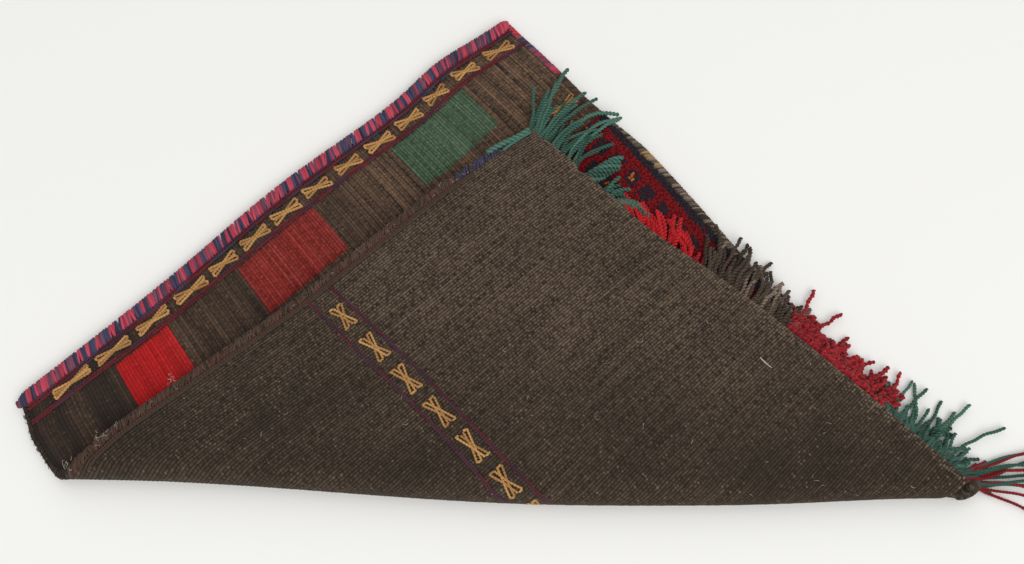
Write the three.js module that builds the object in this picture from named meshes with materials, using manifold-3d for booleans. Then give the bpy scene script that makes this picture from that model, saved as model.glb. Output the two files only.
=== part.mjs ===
// A hand-knotted wool bag, lying face up with its lower half folded over the face from corner to corner.
// The cloth is one woven strip: a face with a knotted pile, turned at the foot into a plain ribbed back.
// Both sides are closed by overcast bindings, the mouth edge is bound, and a fringe hangs from the foot.
// Millimetres, +Z up, the diagonal fold along X, the mouth to the upper left.

import * as THREE from 'three';
import { mergeVertices } from 'three/addons/utils/BufferGeometryUtils.js';
import Module from 'manifold-3d';

const { clamp, degToRad, lerp, seededRandom } = THREE.MathUtils;

// Outline of the cloth between its bindings
const MOUTH_WIDTH = 388;
const FOLD_LENGTH = 493;
const RIGHT_SIDE = 418; // from the mouth to the fold
const RIGHT_STUB = 18; // from the fold to the right corner of the foot
const RIGHT_STUB_ANGLE = 49; // degrees from the fold
const LEFT_STUB = 59; // from the mouth to the fold
const LEFT_STUB_ANGLE = 122;
const LEFT_FLAP = 354; // from the fold to the left corner of the foot
const LEFT_FLAP_ANGLE = 43.5;
const FOLD_LEFT_X = -247; // left end of the fold, from the origin under the middle of the bag
const FOLD_Y = -142.7;

// How far the slack cloth strays from straight lines
const FOLD_BOW = 10;
const FOLD_BOW_SKEW = 1.15; // above 1, the bow is fullest to the right of the middle
const FOLD_BOW_REACH = 160; // how deep into the cloth the fold's bow is felt
const SIDE_BOW = 11;
const SIDE_SPREAD = 7; // the right corner of the mouth stands out
const FOOT_BOW = 3;
const FOOT_HOLLOW = 4.5; // the foot is drawn in here, measured from its left corner
const FOOT_HOLLOW_AT = 100;
const FOOT_HOLLOW_REACH = 45;
const MOUTH_WAVE = 5; // the mouth edge waves outward in two places, measured from its right corner
const FIRST_WAVE_AT = 50;
const FIRST_WAVE_REACH = 30;
const SECOND_WAVE_AT = 188;
const SECOND_WAVE_REACH = 70;
const FLAP_DROOP = 4; // the flap's left edge sinks on to the band that has no pile
const DROOP_REACH = 40;

// Layers, counted inward from the outside of the back
const BACK_CLOTH = 2.2;
const INSIDE_GAP = 0.4; // the empty bag lies flat
const FACE_CLOTH = 2.2;
const PILE_HEIGHT = 4.6;
const SEAT = 0.3; // clearance between pieces that lie on each other
const CORD_SEAT = 0.9; // clearance between the cloth's edge and its bindings

// Weave
const RIBS = 40;
const RIB_HEIGHT = 0.5;
const FOOT_WRAP = 2; // how far the turned foot stands out past the two layers
const BACK_LIP = 6; // the back reaches this far under the mouth binding

// Bands across the face, measured from the mouth edge of the cloth
const MOUTH_BROCADE_START = 1.5;
const BROCADE_WIDTH = 11;
const BLOCK_START = 14;
const BLOCK_DEPTH = 39;
const BLOCK_POCKET = 1.1; // the coloured wefts are let this far into the face
const BLOCK_PROUD = 0.4;
const BAND_START = 15;
const BAND_END = 57;
const BAND_MARGIN = 1; // the band's ribs stop this far short of the cloth's sides
const BAND_PROUD = 0.1; // the grooves of its ribs lie this far above the bare cloth
const PILE_BROCADE_START = 64;
const PILE_START = 92;
const PILE_MARGIN = 0.02; // share of the width left bare at each side
const PILE_FOOT_GAP = 7;

// Coloured blocks along the mouth, measured from its right corner
const GREEN_BLOCK_FROM = 52;
const GREEN_BLOCK_WIDTH = 65;
const CRIMSON_BLOCK_FROM = 183;
const CRIMSON_BLOCK_WIDTH = 63;
const SCARLET_BLOCK_FROM = 300.4;
const SCARLET_BLOCK_WIDTH = 38;

// Brocaded lines of crosses
const MOTIF_PITCH = 27.6;
const MOTIF_LENGTH = 20;
const MOTIF_WIDTH = 8;
const MOTIF_BAR = 2.4;
const BROCADE_MARGIN = 3; // left bare at each side of the face
const PILE_BROCADE_LENGTH = 350; // it ends where the cloth turns into the fold
const BROCADE_GROUND = 0.5;
const BROCADE_RELIEF = 0.5;
const BACK_BROCADE_FROM_FOOT = 177;
const BACK_BROCADE_WIDTH = 15;
const BACK_BROCADE_LENGTH = 152;

// Bindings, as half sizes of their sections
const MOUTH_BINDING_WIDE = 4.3;
const MOUTH_BINDING_HIGH = 2.4;
const LEFT_CORD = 3;
const RIGHT_CORD = 4;
const CORD_LIFT = 0.2; // clear of the floor
const ROLL_STAND_OFF = 1.4; // the side bindings stand off further where they go round the fold
const WRAP_PITCH = 16;
const WRAP_WAIST = 0.86; // the section shrinks to this between two wraps
const WRAP_TWIST = 0.5; // radians from ring to ring

// Fringe along the foot: where each tuft ends, measured from the foot's left corner, and how long it is
const GREEN_FRINGE_END = 83;
const GREEN_FRINGE_LENGTH = 54;
const RED_FRINGE_END = 150;
const RED_FRINGE_LENGTH = 30;
const BROWN_FRINGE_END = 207;
const BROWN_FRINGE_LENGTH = 36;
const CRIMSON_FRINGE_END = 275;
const CRIMSON_FRINGE_LENGTH = 38;
const CORNER_FRINGE_END = 319;
const CORNER_FRINGE_LENGTH = 46;
const CORNER_TASSEL_END = 335;
const CORNER_TASSEL_LENGTH = 68;
const HEADING_RADIUS = 1.6;
const HEADING_INSET = 2;
const STRAND_RADIUS = 1.4;
const STRAND_CLEAR = 0.5;
const TUFT_GAP = 5;
const LENGTH_SPREAD = 0.3; // strands differ in length by up to this share
const LEAN_SPREAD = 8; // degrees

// What is woven into the mouth and knotted to the foot
const BLOCKS = [
  { name: 'green_block', from: GREEN_BLOCK_FROM, width: GREEN_BLOCK_WIDTH, colour: 0x2b4f3d },
  { name: 'crimson_block', from: CRIMSON_BLOCK_FROM, width: CRIMSON_BLOCK_WIDTH, colour: 0x84212a },
  { name: 'scarlet_block', from: SCARLET_BLOCK_FROM, width: SCARLET_BLOCK_WIDTH, colour: 0xae141d },
];
const TUFTS = [
  {
    name: 'green_fringe',
    from: 0,
    to: GREEN_FRINGE_END,
    length: GREEN_FRINGE_LENGTH,
    strands: 11,
    lean: [84, 70],
    colour: 0x2b5547,
  },
  {
    name: 'red_fringe',
    from: GREEN_FRINGE_END,
    to: RED_FRINGE_END,
    length: RED_FRINGE_LENGTH,
    strands: 9,
    lean: [70, 60],
    colour: 0xb01b20,
  },
  {
    name: 'brown_fringe',
    from: RED_FRINGE_END,
    to: BROWN_FRINGE_END,
    length: BROWN_FRINGE_LENGTH,
    strands: 8,
    lean: [70, 60],
    colour: 0x463a31,
  },
  {
    name: 'crimson_fringe',
    from: BROWN_FRINGE_END,
    to: CRIMSON_FRINGE_END,
    length: CRIMSON_FRINGE_LENGTH,
    strands: 9,
    lean: [58, 44],
    colour: 0x8b2029,
  },
  {
    name: 'corner_fringe',
    from: CRIMSON_FRINGE_END,
    to: CORNER_FRINGE_END,
    length: CORNER_FRINGE_LENGTH,
    strands: 7,
    lean: [40, 24],
    colour: 0x2b5547,
  },
  {
    name: 'corner_tassel',
    from: CORNER_FRINGE_END,
    to: CORNER_TASSEL_END,
    length: CORNER_TASSEL_LENGTH,
    strands: 5,
    lean: [16, -4],
    colour: 0x6e1519,
  },
];

// Fineness of the facets
const COLUMNS = 16;
const LOWER_ROWS = 4;
const ROLL_ROWS = 6;
const CORD_SIDES = 6;
const STRAND_SIDES = 4;
const STRAND_STEPS = 3;
const HEADING_STEPS = 4;

// Depths that follow from the layers
const FACE_LOW = BACK_CLOTH + INSIDE_GAP;
const FACE_TOP = FACE_LOW + FACE_CLOTH;
const PILE_LOW = FACE_TOP + SEAT;
const PILE_TOP = PILE_LOW + PILE_HEIGHT;
const FOLD_RADIUS = PILE_TOP + SEAT;
const QUARTER = FOLD_RADIUS * Math.PI / 2; // cloth taken up by a quarter of the fold's roll
const BROCADE_TOP = FACE_TOP + SEAT + BROCADE_GROUND + BROCADE_RELIEF;

const wasm = await Module();
wasm.setup();

// Corners of the cloth, seen from above
const bearing = (degrees) => new THREE.Vector2(Math.cos(degToRad(degrees)), Math.sin(degToRad(degrees)));
const FOLD_LEFT = new THREE.Vector2(FOLD_LEFT_X, FOLD_Y);
const FOLD_RIGHT = new THREE.Vector2(FOLD_LEFT_X + FOLD_LENGTH, FOLD_Y);
const FOOT_LEFT = FOLD_LEFT.clone().addScaledVector(bearing(LEFT_FLAP_ANGLE), LEFT_FLAP);
const FOOT_RIGHT = FOLD_RIGHT.clone().addScaledVector(bearing(RIGHT_STUB_ANGLE), RIGHT_STUB);
const MOUTH_LEFT = FOLD_LEFT.clone().addScaledVector(bearing(LEFT_STUB_ANGLE), LEFT_STUB);
const MOUTH_RIGHT = cornerBetween(MOUTH_LEFT, MOUTH_WIDTH, FOLD_RIGHT, RIGHT_SIDE);
const FOOT_WIDTH = FOOT_LEFT.distanceTo(FOOT_RIGHT);
const MOUTH_INWARD = leftOf(MOUTH_RIGHT, MOUTH_LEFT);
const SIDE_OUTWARD = leftOf(MOUTH_RIGHT, FOLD_RIGHT);
const FOOT_OUTWARD = leftOf(FOOT_LEFT, FOOT_RIGHT);

// The upper of the two points at set distances from two others
function cornerBetween(a, fromA, b, fromB) {
  const span = a.distanceTo(b);
  const along = (fromA ** 2 - fromB ** 2 + span ** 2) / (2 * span);
  const across = Math.sqrt(fromA ** 2 - along ** 2);
  const unit = b.clone().sub(a).divideScalar(span);
  return a.clone().addScaledVector(unit, along).addScaledVector(new THREE.Vector2(-unit.y, unit.x), across);
}

function leftOf(a, b) {
  const unit = b.clone().sub(a).normalize();
  return new THREE.Vector2(-unit.y, unit.x);
}

// A curve over shares from 0 to 1 that runs straight from each row of points to the next, as the facets do
function faceted(curve, rows, share) {
  const inside = clamp(share, 0, 1);
  const row = Math.min(Math.floor(inside * rows), rows - 1);
  return lerp(curve(row / rows), curve((row + 1) / rows), inside * rows - row);
}

// A bow that is fullest a third of the way along
const bow = (t) => faceted((share) => 6.75 * share * (1 - share) ** 2, LOWER_ROWS, t);

// A rounded hump, 1 at its middle
const hump = (at, middle, reach) => Math.exp(-(((at - middle) / reach) ** 2));

// How far the mouth edge waves outward, how far its right corner stands out, and how far the foot is drawn in
const mouthWave = (k) => faceted((share) => {
  const across = share * MOUTH_WIDTH;
  const first = hump(across, FIRST_WAVE_AT, FIRST_WAVE_REACH);
  return MOUTH_WAVE * (first + hump(across, SECOND_WAVE_AT, SECOND_WAVE_REACH));
}, COLUMNS, k);
const sideSpread = (k) => faceted((share) => SIDE_SPREAD * clamp(1 - 4 * share, 0, 1) ** 2, COLUMNS, k);
const footHollow = (k) => faceted((share) => (
  FOOT_HOLLOW * hump((1 - share) * FOOT_WIDTH, FOOT_HOLLOW_AT, FOOT_HOLLOW_REACH)
), COLUMNS, k);

// One warp of the cloth, k = 0 at the right side and 1 at the left, in the flat cloth:
// x along the fold, and the signed reach from it, positive on the layer that lies below.
function warp(k) {
  const mouth = MOUTH_RIGHT.clone().lerp(MOUTH_LEFT, k);
  const fold = FOLD_RIGHT.clone().lerp(FOLD_LEFT, k);
  const foot = FOOT_RIGHT.clone().lerp(FOOT_LEFT, k);
  foot.addScaledVector(FOOT_OUTWARD, FOOT_BOW * bow(k) - footHollow(k));
  mouth.y -= FOLD_Y;
  fold.y = 0;
  foot.y = FOLD_Y - foot.y;
  const toFold = mouth.distanceTo(fold);
  const length = toFold + fold.distanceTo(foot);
  return { mouth, fold, foot, toFold, length };
}

// The point of the flat cloth on warp k, at a length along it from the mouth.
// The mouth's waves and its spread corner are spent by the first row of points.
function flat(k, along) {
  const { mouth, fold, foot, toFold, length } = warp(k);
  if (along > toFold) {
    return fold.clone().lerp(foot, (along - toFold) / (length - toFold));
  }
  const t = along / toFold;
  const nearMouth = Math.max(0, 1 - LOWER_ROWS * t);
  const point = mouth.clone().lerp(fold, t);
  point.addScaledVector(MOUTH_INWARD, -mouthWave(k) * nearMouth);
  return point.addScaledVector(
    SIDE_OUTWARD,
    SIDE_BOW * bow(t) * (1 - clamp(k, 0, 1)) ** 2 + sideSpread(k) * nearMouth,
  );
}

const fromFoot = (k, distance) => flat(k, warp(k).length - distance);
const mouthDistance = (x, y) => new THREE.Vector2(x, y).sub(MOUTH_RIGHT).dot(MOUTH_INWARD);

// How far round the fold a point has turned: 0 on the lower layer, 1 on the flap
const rollAngle = (reach) => clamp((QUARTER - reach) / FOLD_RADIUS, 0, Math.PI);
const turned = (reach) => (1 - Math.cos(rollAngle(reach))) / 2;

// Lays a point of the flat cloth, at a depth from the outside of the back, round the fold
function lay(point, depth) {
  const angle = rollAngle(point.y);
  const radius = FOLD_RADIUS - depth;
  const straight = Math.max(0, Math.abs(point.y) - QUARTER);
  let y = QUARTER - radius * Math.sin(angle) + straight;
  let z = FOLD_RADIUS - radius * Math.cos(angle);
  const overBand = (PILE_START - mouthDistance(point.x, FOLD_Y + y)) / DROOP_REACH;
  z -= FLAP_DROOP * turned(point.y) * clamp(overBand, 0, 1);
  const share = clamp((point.x - FOLD_LEFT.x) / FOLD_LENGTH, 0, 1);
  const bowed = FOLD_BOW * Math.sin(Math.PI * share ** FOLD_BOW_SKEW) ** 2;
  y -= bowed * clamp(1 - y / FOLD_BOW_REACH, 0, 1) ** 2;
  return new THREE.Vector3(point.x, FOLD_Y + y, z);
}

// Lengths along a warp at which the cloth has a row of points, closer round the fold
function rowsAt(k, start, end) {
  const { mouth, foot, toFold, length } = warp(k);
  const rollStart = toFold * (1 - QUARTER / mouth.y);
  const rows = [start];
  for (let i = 1; i < LOWER_ROWS; i += 1) {
    rows.push(Math.min(toFold * i / LOWER_ROWS, rollStart));
  }
  rows.push(rollStart);
  for (let i = 1; i <= ROLL_ROWS; i += 1) {
    const reach = QUARTER * (1 - 2 * i / ROLL_ROWS);
    const past = (length - toFold) * reach / foot.y;
    rows.push(reach > 0 ? toFold * (1 - reach / mouth.y) : toFold + past);
  }
  rows.push(end);
  return rows.map((row) => clamp(row, start, end));
}

// Closed geometry from triangles of points, with shared points merged and flattened triangles dropped
function closedGeometry(triangles) {
  const soup = new THREE.BufferGeometry().setFromPoints(triangles.flat());
  const merged = mergeVertices(soup, 1e-4);
  const index = merged.getIndex().array;
  const kept = [];
  for (let i = 0; i < index.length; i += 3) {
    const [a, b, c] = index.slice(i, i + 3);
    if (a !== b && b !== c && c !== a) {
      kept.push(a, b, c);
    }
  }
  merged.setIndex(kept);
  return merged;
}

const always = (value) => () => value;
const quad = (a, b, c, d) => [[a, b, c], [a, c, d]];

// Triangles between two rows of points that cover the same stretch with different numbers of points
function zip(low, high) {
  const triangles = [];
  let a = 0;
  let b = 0;
  while (a < low.length - 1 || b < high.length - 1) {
    const nextLow = (a + 1) / (low.length - 1);
    const nextHigh = (b + 1) / (high.length - 1);
    if (b === high.length - 1 || (a < low.length - 1 && nextLow <= nextHigh)) {
      triangles.push([low[a], low[a + 1], high[b]]);
      a += 1;
    } else {
      triangles.push([low[a], high[b + 1], high[b]]);
      b += 1;
    }
  }
  return triangles;
}

// Shares of the width at which a row has its points, in line with those of every other layer
function stations(right, left, columns) {
  const inner = Array.from({ length: columns }, (_, i) => i / columns);
  return [right, ...inner.filter((k) => k > right + 1e-6 && k < left - 1e-6), left];
}

// The surfaces that a layer of cloth can have: how many points a row has across, and how deep they lie.
// The ribs of the back fade out underneath, where the bag lies flat.
const crest = (k) => Math.round(k * 2 * RIBS) % 2;
const plain = (depth) => ({ columns: () => COLUMNS, depthAt: () => depth });
const fine = (depth) => ({ columns: () => 2 * RIBS, depthAt: () => depth });
const ribbedFace = (depth) => ({ columns: () => 2 * RIBS, depthAt: (k) => depth + crest(k) * RIB_HEIGHT });
const ribbedBack = {
  columns: (row) => (row < LOWER_ROWS ? COLUMNS : 2 * RIBS),
  depthAt: (k, reach) => -crest(k) * RIB_HEIGHT * turned(reach),
};

// Rows of points on one surface between two warps, from start to end along them
function surfaceRows(surface, { right = 0, left = 1, start, end }) {
  const count = rowsAt(right, 0, 0).length;
  return Array.from({ length: count }, (_, row) => (
    stations(right, left, surface.columns(row)).map((k) => {
      const point = flat(k, rowsAt(k, start(k), end(k))[row]);
      return lay(point, surface.depthAt(k, point.y));
    })
  ));
}

// The closed skin between two lists of rows that lie one over the other
function skin(under, over) {
  const last = under.length - 1;
  const flipped = (triangles) => triangles.map(([a, b, c]) => [a, c, b]);
  const triangles = [...zip(under[0], over[0]), ...flipped(zip(under[last], over[last]))];
  for (let j = 0; j < last; j += 1) {
    const [underEnd, nextUnderEnd] = [under[j].at(-1), under[j + 1].at(-1)];
    triangles.push(...zip(over[j], over[j + 1]));
    triangles.push(...flipped(zip(under[j], under[j + 1])));
    triangles.push(...quad(under[j][0], over[j][0], over[j + 1][0], under[j + 1][0]));
    triangles.push(...quad(underEnd, nextUnderEnd, over[j + 1].at(-1), over[j].at(-1)));
  }
  return closedGeometry(triangles);
}

// A single layer of cloth
const clothLayer = ({ low, high, ...span }) => skin(surfaceRows(low, span), surfaceRows(high, span));

// A short raised bar of brocade between two places on the cloth, given as [across, along] in millimetres
function brocadeBar(toCloth, from, to, low, high) {
  const unit = new THREE.Vector2(to[0] - from[0], to[1] - from[1]).normalize().multiplyScalar(MOTIF_BAR / 2);
  const corners = [
    [from[0] + unit.y, from[1] - unit.x],
    [to[0] + unit.y, to[1] - unit.x],
    [to[0] - unit.y, to[1] + unit.x],
    [from[0] - unit.y, from[1] + unit.x],
  ].map(([across, along]) => toCloth(across, along));
  const under = corners.map((point) => lay(point, low));
  const over = corners.map((point) => lay(point, high));
  const triangles = [
    ...quad(over[0], over[1], over[2], over[3]),
    ...quad(under[0], under[3], under[2], under[1]),
  ];
  for (let i = 0; i < 4; i += 1) {
    const next = (i + 1) % 4;
    triangles.push(...quad(under[i], under[next], over[next], over[i]));
  }
  return closedGeometry(triangles);
}

// Directions across a line of points, turned as little as possible from each to the next
function framesAlong(centres) {
  let normal = new THREE.Vector3(0, 0, 1);
  return centres.map((_, i) => {
    const ahead = centres[Math.min(i + 1, centres.length - 1)];
    const tangent = ahead.clone().sub(centres[Math.max(i - 1, 0)]).normalize();
    normal = normal.clone().addScaledVector(tangent, -normal.dot(tangent)).normalize();
    return { normal, binormal: tangent.cross(normal) };
  });
}

// A cord through the centres of its rings, closed at both ends
function cord(centres, sides, { wide, high, sizeAt = always(1), twist = 0 }) {
  const frames = framesAlong(centres);
  const loops = centres.map((centre, i) => Array.from({ length: sides }, (_, side) => {
    const angle = 2 * Math.PI * side / sides + twist * i;
    const point = centre.clone();
    point.addScaledVector(frames[i].normal, Math.cos(angle) * high * sizeAt(i));
    return point.addScaledVector(frames[i].binormal, Math.sin(angle) * wide * sizeAt(i));
  }));
  const triangles = [];
  const last = loops.length - 1;
  for (let side = 0; side < sides; side += 1) {
    const next = (side + 1) % sides;
    for (let i = 0; i < last; i += 1) {
      triangles.push(...quad(loops[i][side], loops[i][next], loops[i + 1][next], loops[i + 1][side]));
    }
    if (side > 0 && next > 0) {
      triangles.push([loops[0][0], loops[0][next], loops[0][side]]);
      triangles.push([loops[last][0], loops[last][side], loops[last][next]]);
    }
  }
  return closedGeometry(triangles);
}

// An overcast binding along straight stretches: a cord whose section swells at each wrap of yarn
function binding(points, wide, high) {
  const centres = [points[0]];
  for (let i = 1; i < points.length; i += 1) {
    const [a, b] = [points[i - 1], points[i]];
    const steps = Math.max(1, Math.round(2 * a.distanceTo(b) / WRAP_PITCH));
    for (let n = 1; n <= steps; n += 1) {
      centres.push(a.clone().lerp(b, n / steps));
    }
  }
  const sizeAt = (i) => (i % 2 ? 1 : WRAP_WAIST);
  return cord(centres, CORD_SIDES, { wide, high, sizeAt, twist: WRAP_TWIST });
}

// Solids that are joined or cut
function solid(geometry) {
  const vertProperties = new Float32Array(geometry.getAttribute('position').array);
  const triVerts = new Uint32Array(geometry.getIndex().array);
  return new wasm.Manifold(new wasm.Mesh({ numProp: 3, vertProperties, triVerts }));
}

function geometryOf(body) {
  const mesh = body.getMesh();
  const geometry = new THREE.BufferGeometry();
  geometry.setAttribute('position', new THREE.Float32BufferAttribute(mesh.vertProperties, 3));
  geometry.setIndex([...mesh.triVerts]);
  return geometry;
}

const joined = (geometries) => geometryOf(geometries.map(solid).reduce((sum, next) => sum.add(next)));

const bag = new THREE.Group();

function addPiece(name, geometry, colour, roughness = 0.95) {
  const material = new THREE.MeshStandardMaterial({ color: colour, roughness, metalness: 0 });
  geometry.computeVertexNormals();
  const mesh = new THREE.Mesh(geometry, material);
  mesh.name = name;
  bag.add(mesh);
}

// The woven strip: ribbed back, turned foot and face, with pockets for the coloured wefts
const clothEnd = (k) => warp(k).length;

function blockSpan({ from, width }, grow) {
  return {
    right: (from - grow) / MOUTH_WIDTH,
    left: (from + width + grow) / MOUTH_WIDTH,
    start: always(BLOCK_START - grow),
    end: always(BLOCK_START + BLOCK_DEPTH + grow),
  };
}

function wovenBody() {
  const back = { start: always(-BACK_LIP), end: clothEnd };
  const face = { start: always(0), end: clothEnd };
  const nose = stations(0, 1, COLUMNS).map((k) => lay(flat(k, clothEnd(k) + FOOT_WRAP), FACE_TOP / 2));
  const outside = [
    ...surfaceRows(ribbedBack, back),
    nose,
    ...surfaceRows(plain(FACE_TOP), face).reverse(),
  ];
  const middle = (BACK_CLOTH + FACE_LOW) / 2;
  const footInside = stations(0, 1, COLUMNS).map((k) => lay(flat(k, clothEnd(k)), middle));
  const inside = [
    ...surfaceRows(plain(BACK_CLOTH), back),
    footInside,
    ...surfaceRows(plain(FACE_LOW), face).reverse(),
  ];
  const band = clothLayer({
    right: BAND_MARGIN / MOUTH_WIDTH,
    left: 1 - BAND_MARGIN / MOUTH_WIDTH,
    start: always(BAND_START),
    end: always(BAND_END),
    low: plain(FACE_TOP - FACE_CLOTH / 4),
    high: ribbedFace(FACE_TOP + BAND_PROUD),
  });
  let body = solid(skin(outside, inside)).add(solid(band));
  for (const block of BLOCKS) {
    const low = plain(FACE_TOP - BLOCK_POCKET);
    const high = plain(FACE_TOP + 2 * BLOCK_POCKET);
    body = body.subtract(solid(clothLayer({ ...blockSpan(block, SEAT), low, high })));
  }
  return geometryOf(body);
}

addPiece('woven_body', wovenBody(), 0x3d342a);

for (const block of BLOCKS) {
  const low = plain(FACE_TOP - BLOCK_POCKET + SEAT);
  const high = ribbedFace(FACE_TOP + BLOCK_PROUD);
  addPiece(block.name, clothLayer({ ...blockSpan(block, 0), low, high }), block.colour);
}

// The knotted pile, from the band of brocade to just short of the foot
const pile = clothLayer({
  right: PILE_MARGIN,
  left: 1 - PILE_MARGIN,
  start: always(PILE_START),
  end: (k) => clothEnd(k) - PILE_FOOT_GAP,
  low: plain(PILE_LOW),
  high: plain(PILE_TOP),
});
addPiece('knotted_pile', pile, 0x5c1418, 1);

// A brocaded line: a thin ground with a row of crosses on it
function brocade(ground, toCloth, length, low, high) {
  const count = Math.floor(length / MOTIF_PITCH);
  const pieces = [ground];
  for (let i = 0; i < count; i += 1) {
    const middle = length / 2 + (i - (count - 1) / 2) * MOTIF_PITCH;
    const [a, b] = [middle - MOTIF_LENGTH / 2, middle + MOTIF_LENGTH / 2];
    pieces.push(brocadeBar(toCloth, [a, -MOTIF_WIDTH / 2], [b, MOTIF_WIDTH / 2], low, high));
    pieces.push(brocadeBar(toCloth, [a, MOTIF_WIDTH / 2], [b, -MOTIF_WIDTH / 2], low, high));
  }
  return joined(pieces);
}

function faceBrocade(start, length) {
  const low = FACE_TOP + SEAT;
  const ground = clothLayer({
    right: BROCADE_MARGIN / MOUTH_WIDTH,
    left: (length - BROCADE_MARGIN) / MOUTH_WIDTH,
    start: always(start),
    end: always(start + BROCADE_WIDTH),
    low: plain(low),
    high: plain(low + BROCADE_GROUND),
  });
  const toCloth = (across, along) => flat(across / MOUTH_WIDTH, start + BROCADE_WIDTH / 2 + along);
  return brocade(ground, toCloth, length, low + BROCADE_GROUND / 2, BROCADE_TOP);
}

function backBrocade() {
  const high = -RIB_HEIGHT - SEAT;
  const toCloth = (across, along) => fromFoot(1 - across / FOOT_WIDTH, BACK_BROCADE_FROM_FOOT + along);
  const ground = clothLayer({
    right: 1 - BACK_BROCADE_LENGTH / FOOT_WIDTH,
    left: 1 - SEAT / FOOT_WIDTH,
    start: (k) => clothEnd(k) - BACK_BROCADE_FROM_FOOT - BACK_BROCADE_WIDTH / 2,
    end: (k) => clothEnd(k) - BACK_BROCADE_FROM_FOOT + BACK_BROCADE_WIDTH / 2,
    low: fine(high - BROCADE_GROUND),
    high: fine(high),
  });
  const relief = high - BROCADE_GROUND - BROCADE_RELIEF;
  return brocade(ground, toCloth, BACK_BROCADE_LENGTH, relief, high - BROCADE_GROUND / 2);
}

addPiece('mouth_brocade', faceBrocade(MOUTH_BROCADE_START, MOUTH_WIDTH), 0xa87f3c);
addPiece('pile_brocade', faceBrocade(PILE_BROCADE_START, PILE_BROCADE_LENGTH), 0xa87f3c);
addPiece('back_brocade', backBrocade(), 0xa87f3c);

// The mouth binding lies on the lip of the back and covers the ends of the side bindings
function mouthBinding() {
  const depth = BACK_CLOTH + SEAT + MOUTH_BINDING_HIGH;
  const [right, left] = [-2 * RIGHT_CORD / MOUTH_WIDTH, 1 + 2 * LEFT_CORD / MOUTH_WIDTH];
  const places = [right, ...stations(0, 1, COLUMNS), left];
  const points = places.map((k) => lay(flat(k, -CORD_SEAT - MOUTH_BINDING_WIDE), depth));
  return binding(points, MOUTH_BINDING_WIDE, MOUTH_BINDING_HIGH);
}

// A side binding runs beside the cloth's edge from the mouth, round the fold, to the foot
function sideBinding(k, radius) {
  const { mouth, fold, foot, length } = warp(k);
  const outward = k === 0 ? 1 : -1;
  const lower = leftOf(mouth, fold).multiplyScalar(outward);
  const upper = leftOf(fold, foot).multiplyScalar(outward);
  const rows = [...new Set(rowsAt(k, CORD_SEAT, length))];
  const points = rows.map((along) => {
    const edge = flat(k, along);
    const angle = rollAngle(edge.y);
    const away = lower.clone().lerp(upper, turned(edge.y)).normalize();
    const offset = radius + CORD_SEAT + ROLL_STAND_OFF * Math.sin(angle);
    return lay(edge.addScaledVector(away, offset), radius + CORD_LIFT);
  });
  return binding(points, radius, radius);
}

addPiece('mouth_binding', mouthBinding(), 0xa62a45);
addPiece('left_binding', sideBinding(1, LEFT_CORD), 0x53302c);
addPiece('right_binding', sideBinding(0, RIGHT_CORD), 0x564a41);

// Height of what a loose strand lies on: band, pile, right binding or floor
function restHeight(x, y) {
  const place = new THREE.Vector2(x, y).sub(MOUTH_RIGHT);
  const along = clamp(place.dot(FOLD_RIGHT.clone().sub(MOUTH_RIGHT)) / RIGHT_SIDE ** 2, 0, 1);
  const outside = place.dot(SIDE_OUTWARD) - SIDE_BOW * bow(along);
  if (outside > 2 * RIGHT_CORD + 2 * CORD_SEAT + STRAND_RADIUS) {
    return 0;
  }
  if (outside > -STRAND_RADIUS || mouthDistance(x, y) > PILE_START - 2 * STRAND_RADIUS) {
    return Math.max(PILE_TOP, 2 * RIGHT_CORD + CORD_LIFT);
  }
  return BROCADE_TOP;
}

// One strand: out from the heading in one direction, resting on what lies below it
function strand(root, degrees, length) {
  const step = length / STRAND_STEPS;
  const out = bearing(degrees);
  const at = (distance) => [root.x + out.x * distance, root.y + out.y * distance];
  const points = [root];
  for (let i = 1; i <= STRAND_STEPS; i += 1) {
    const [x, y] = at(i * step);
    const below = [i - 1, i - 0.5, i, i + 0.5, i + 1].map((n) => restHeight(...at(n * step)));
    const rest = Math.max(...below) + STRAND_RADIUS + STRAND_CLEAR;
    points.push(new THREE.Vector3(x, y, Math.max(rest, lerp(root.z, rest, i / 2))));
  }
  return cord(points, STRAND_SIDES, { wide: STRAND_RADIUS, high: STRAND_RADIUS });
}

// A tuft: a heading of knots under the edge of the foot, with its strands
function tuft({ from, to, strands, length, lean }, seed) {
  const depth = FACE_TOP + SEAT + HEADING_RADIUS;
  const rootAt = (across) => lay(fromFoot(1 - across / FOOT_WIDTH, HEADING_INSET), depth);
  const [a, b] = [from + TUFT_GAP / 2, to - TUFT_GAP / 2];
  const knots = Array.from({ length: HEADING_STEPS + 1 }, (_, i) => rootAt(lerp(a, b, i / HEADING_STEPS)));
  const pieces = [cord(knots, STRAND_SIDES, { wide: HEADING_RADIUS, high: HEADING_RADIUS })];
  for (let i = 0; i < strands; i += 1) {
    const share = (i + 0.5) / strands;
    const degrees = lerp(lean[0], lean[1], share) + LEAN_SPREAD * (seededRandom(seed + i) - 0.5);
    const reach = length * (1 - LENGTH_SPREAD * seededRandom(seed + strands + i));
    pieces.push(strand(rootAt(lerp(a, b, share)), degrees, reach));
  }
  return joined(pieces);
}

TUFTS.forEach((tuftSizes, n) => {
  addPiece(tuftSizes.name, tuft(tuftSizes, 100 * (n + 1)), tuftSizes.colour);
});

export default bag;
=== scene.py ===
# %% [markdown]
# # A hand-knotted wool bag, laid down and folded over
# The bag is one strip of wool cloth. Its face carries a knotted pile and, along the mouth, a flat-woven
# band with coloured blocks. At the foot the strip turns and comes back as a plain ribbed back. Yarn
# wrapped over the edges closes the sides, and a fringe is knotted to the foot. It lies face up, with
# its lower half folded over the face. This lesson dresses the measured solids of the frame with cloth
# and yarn, one piece at a time.

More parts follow.
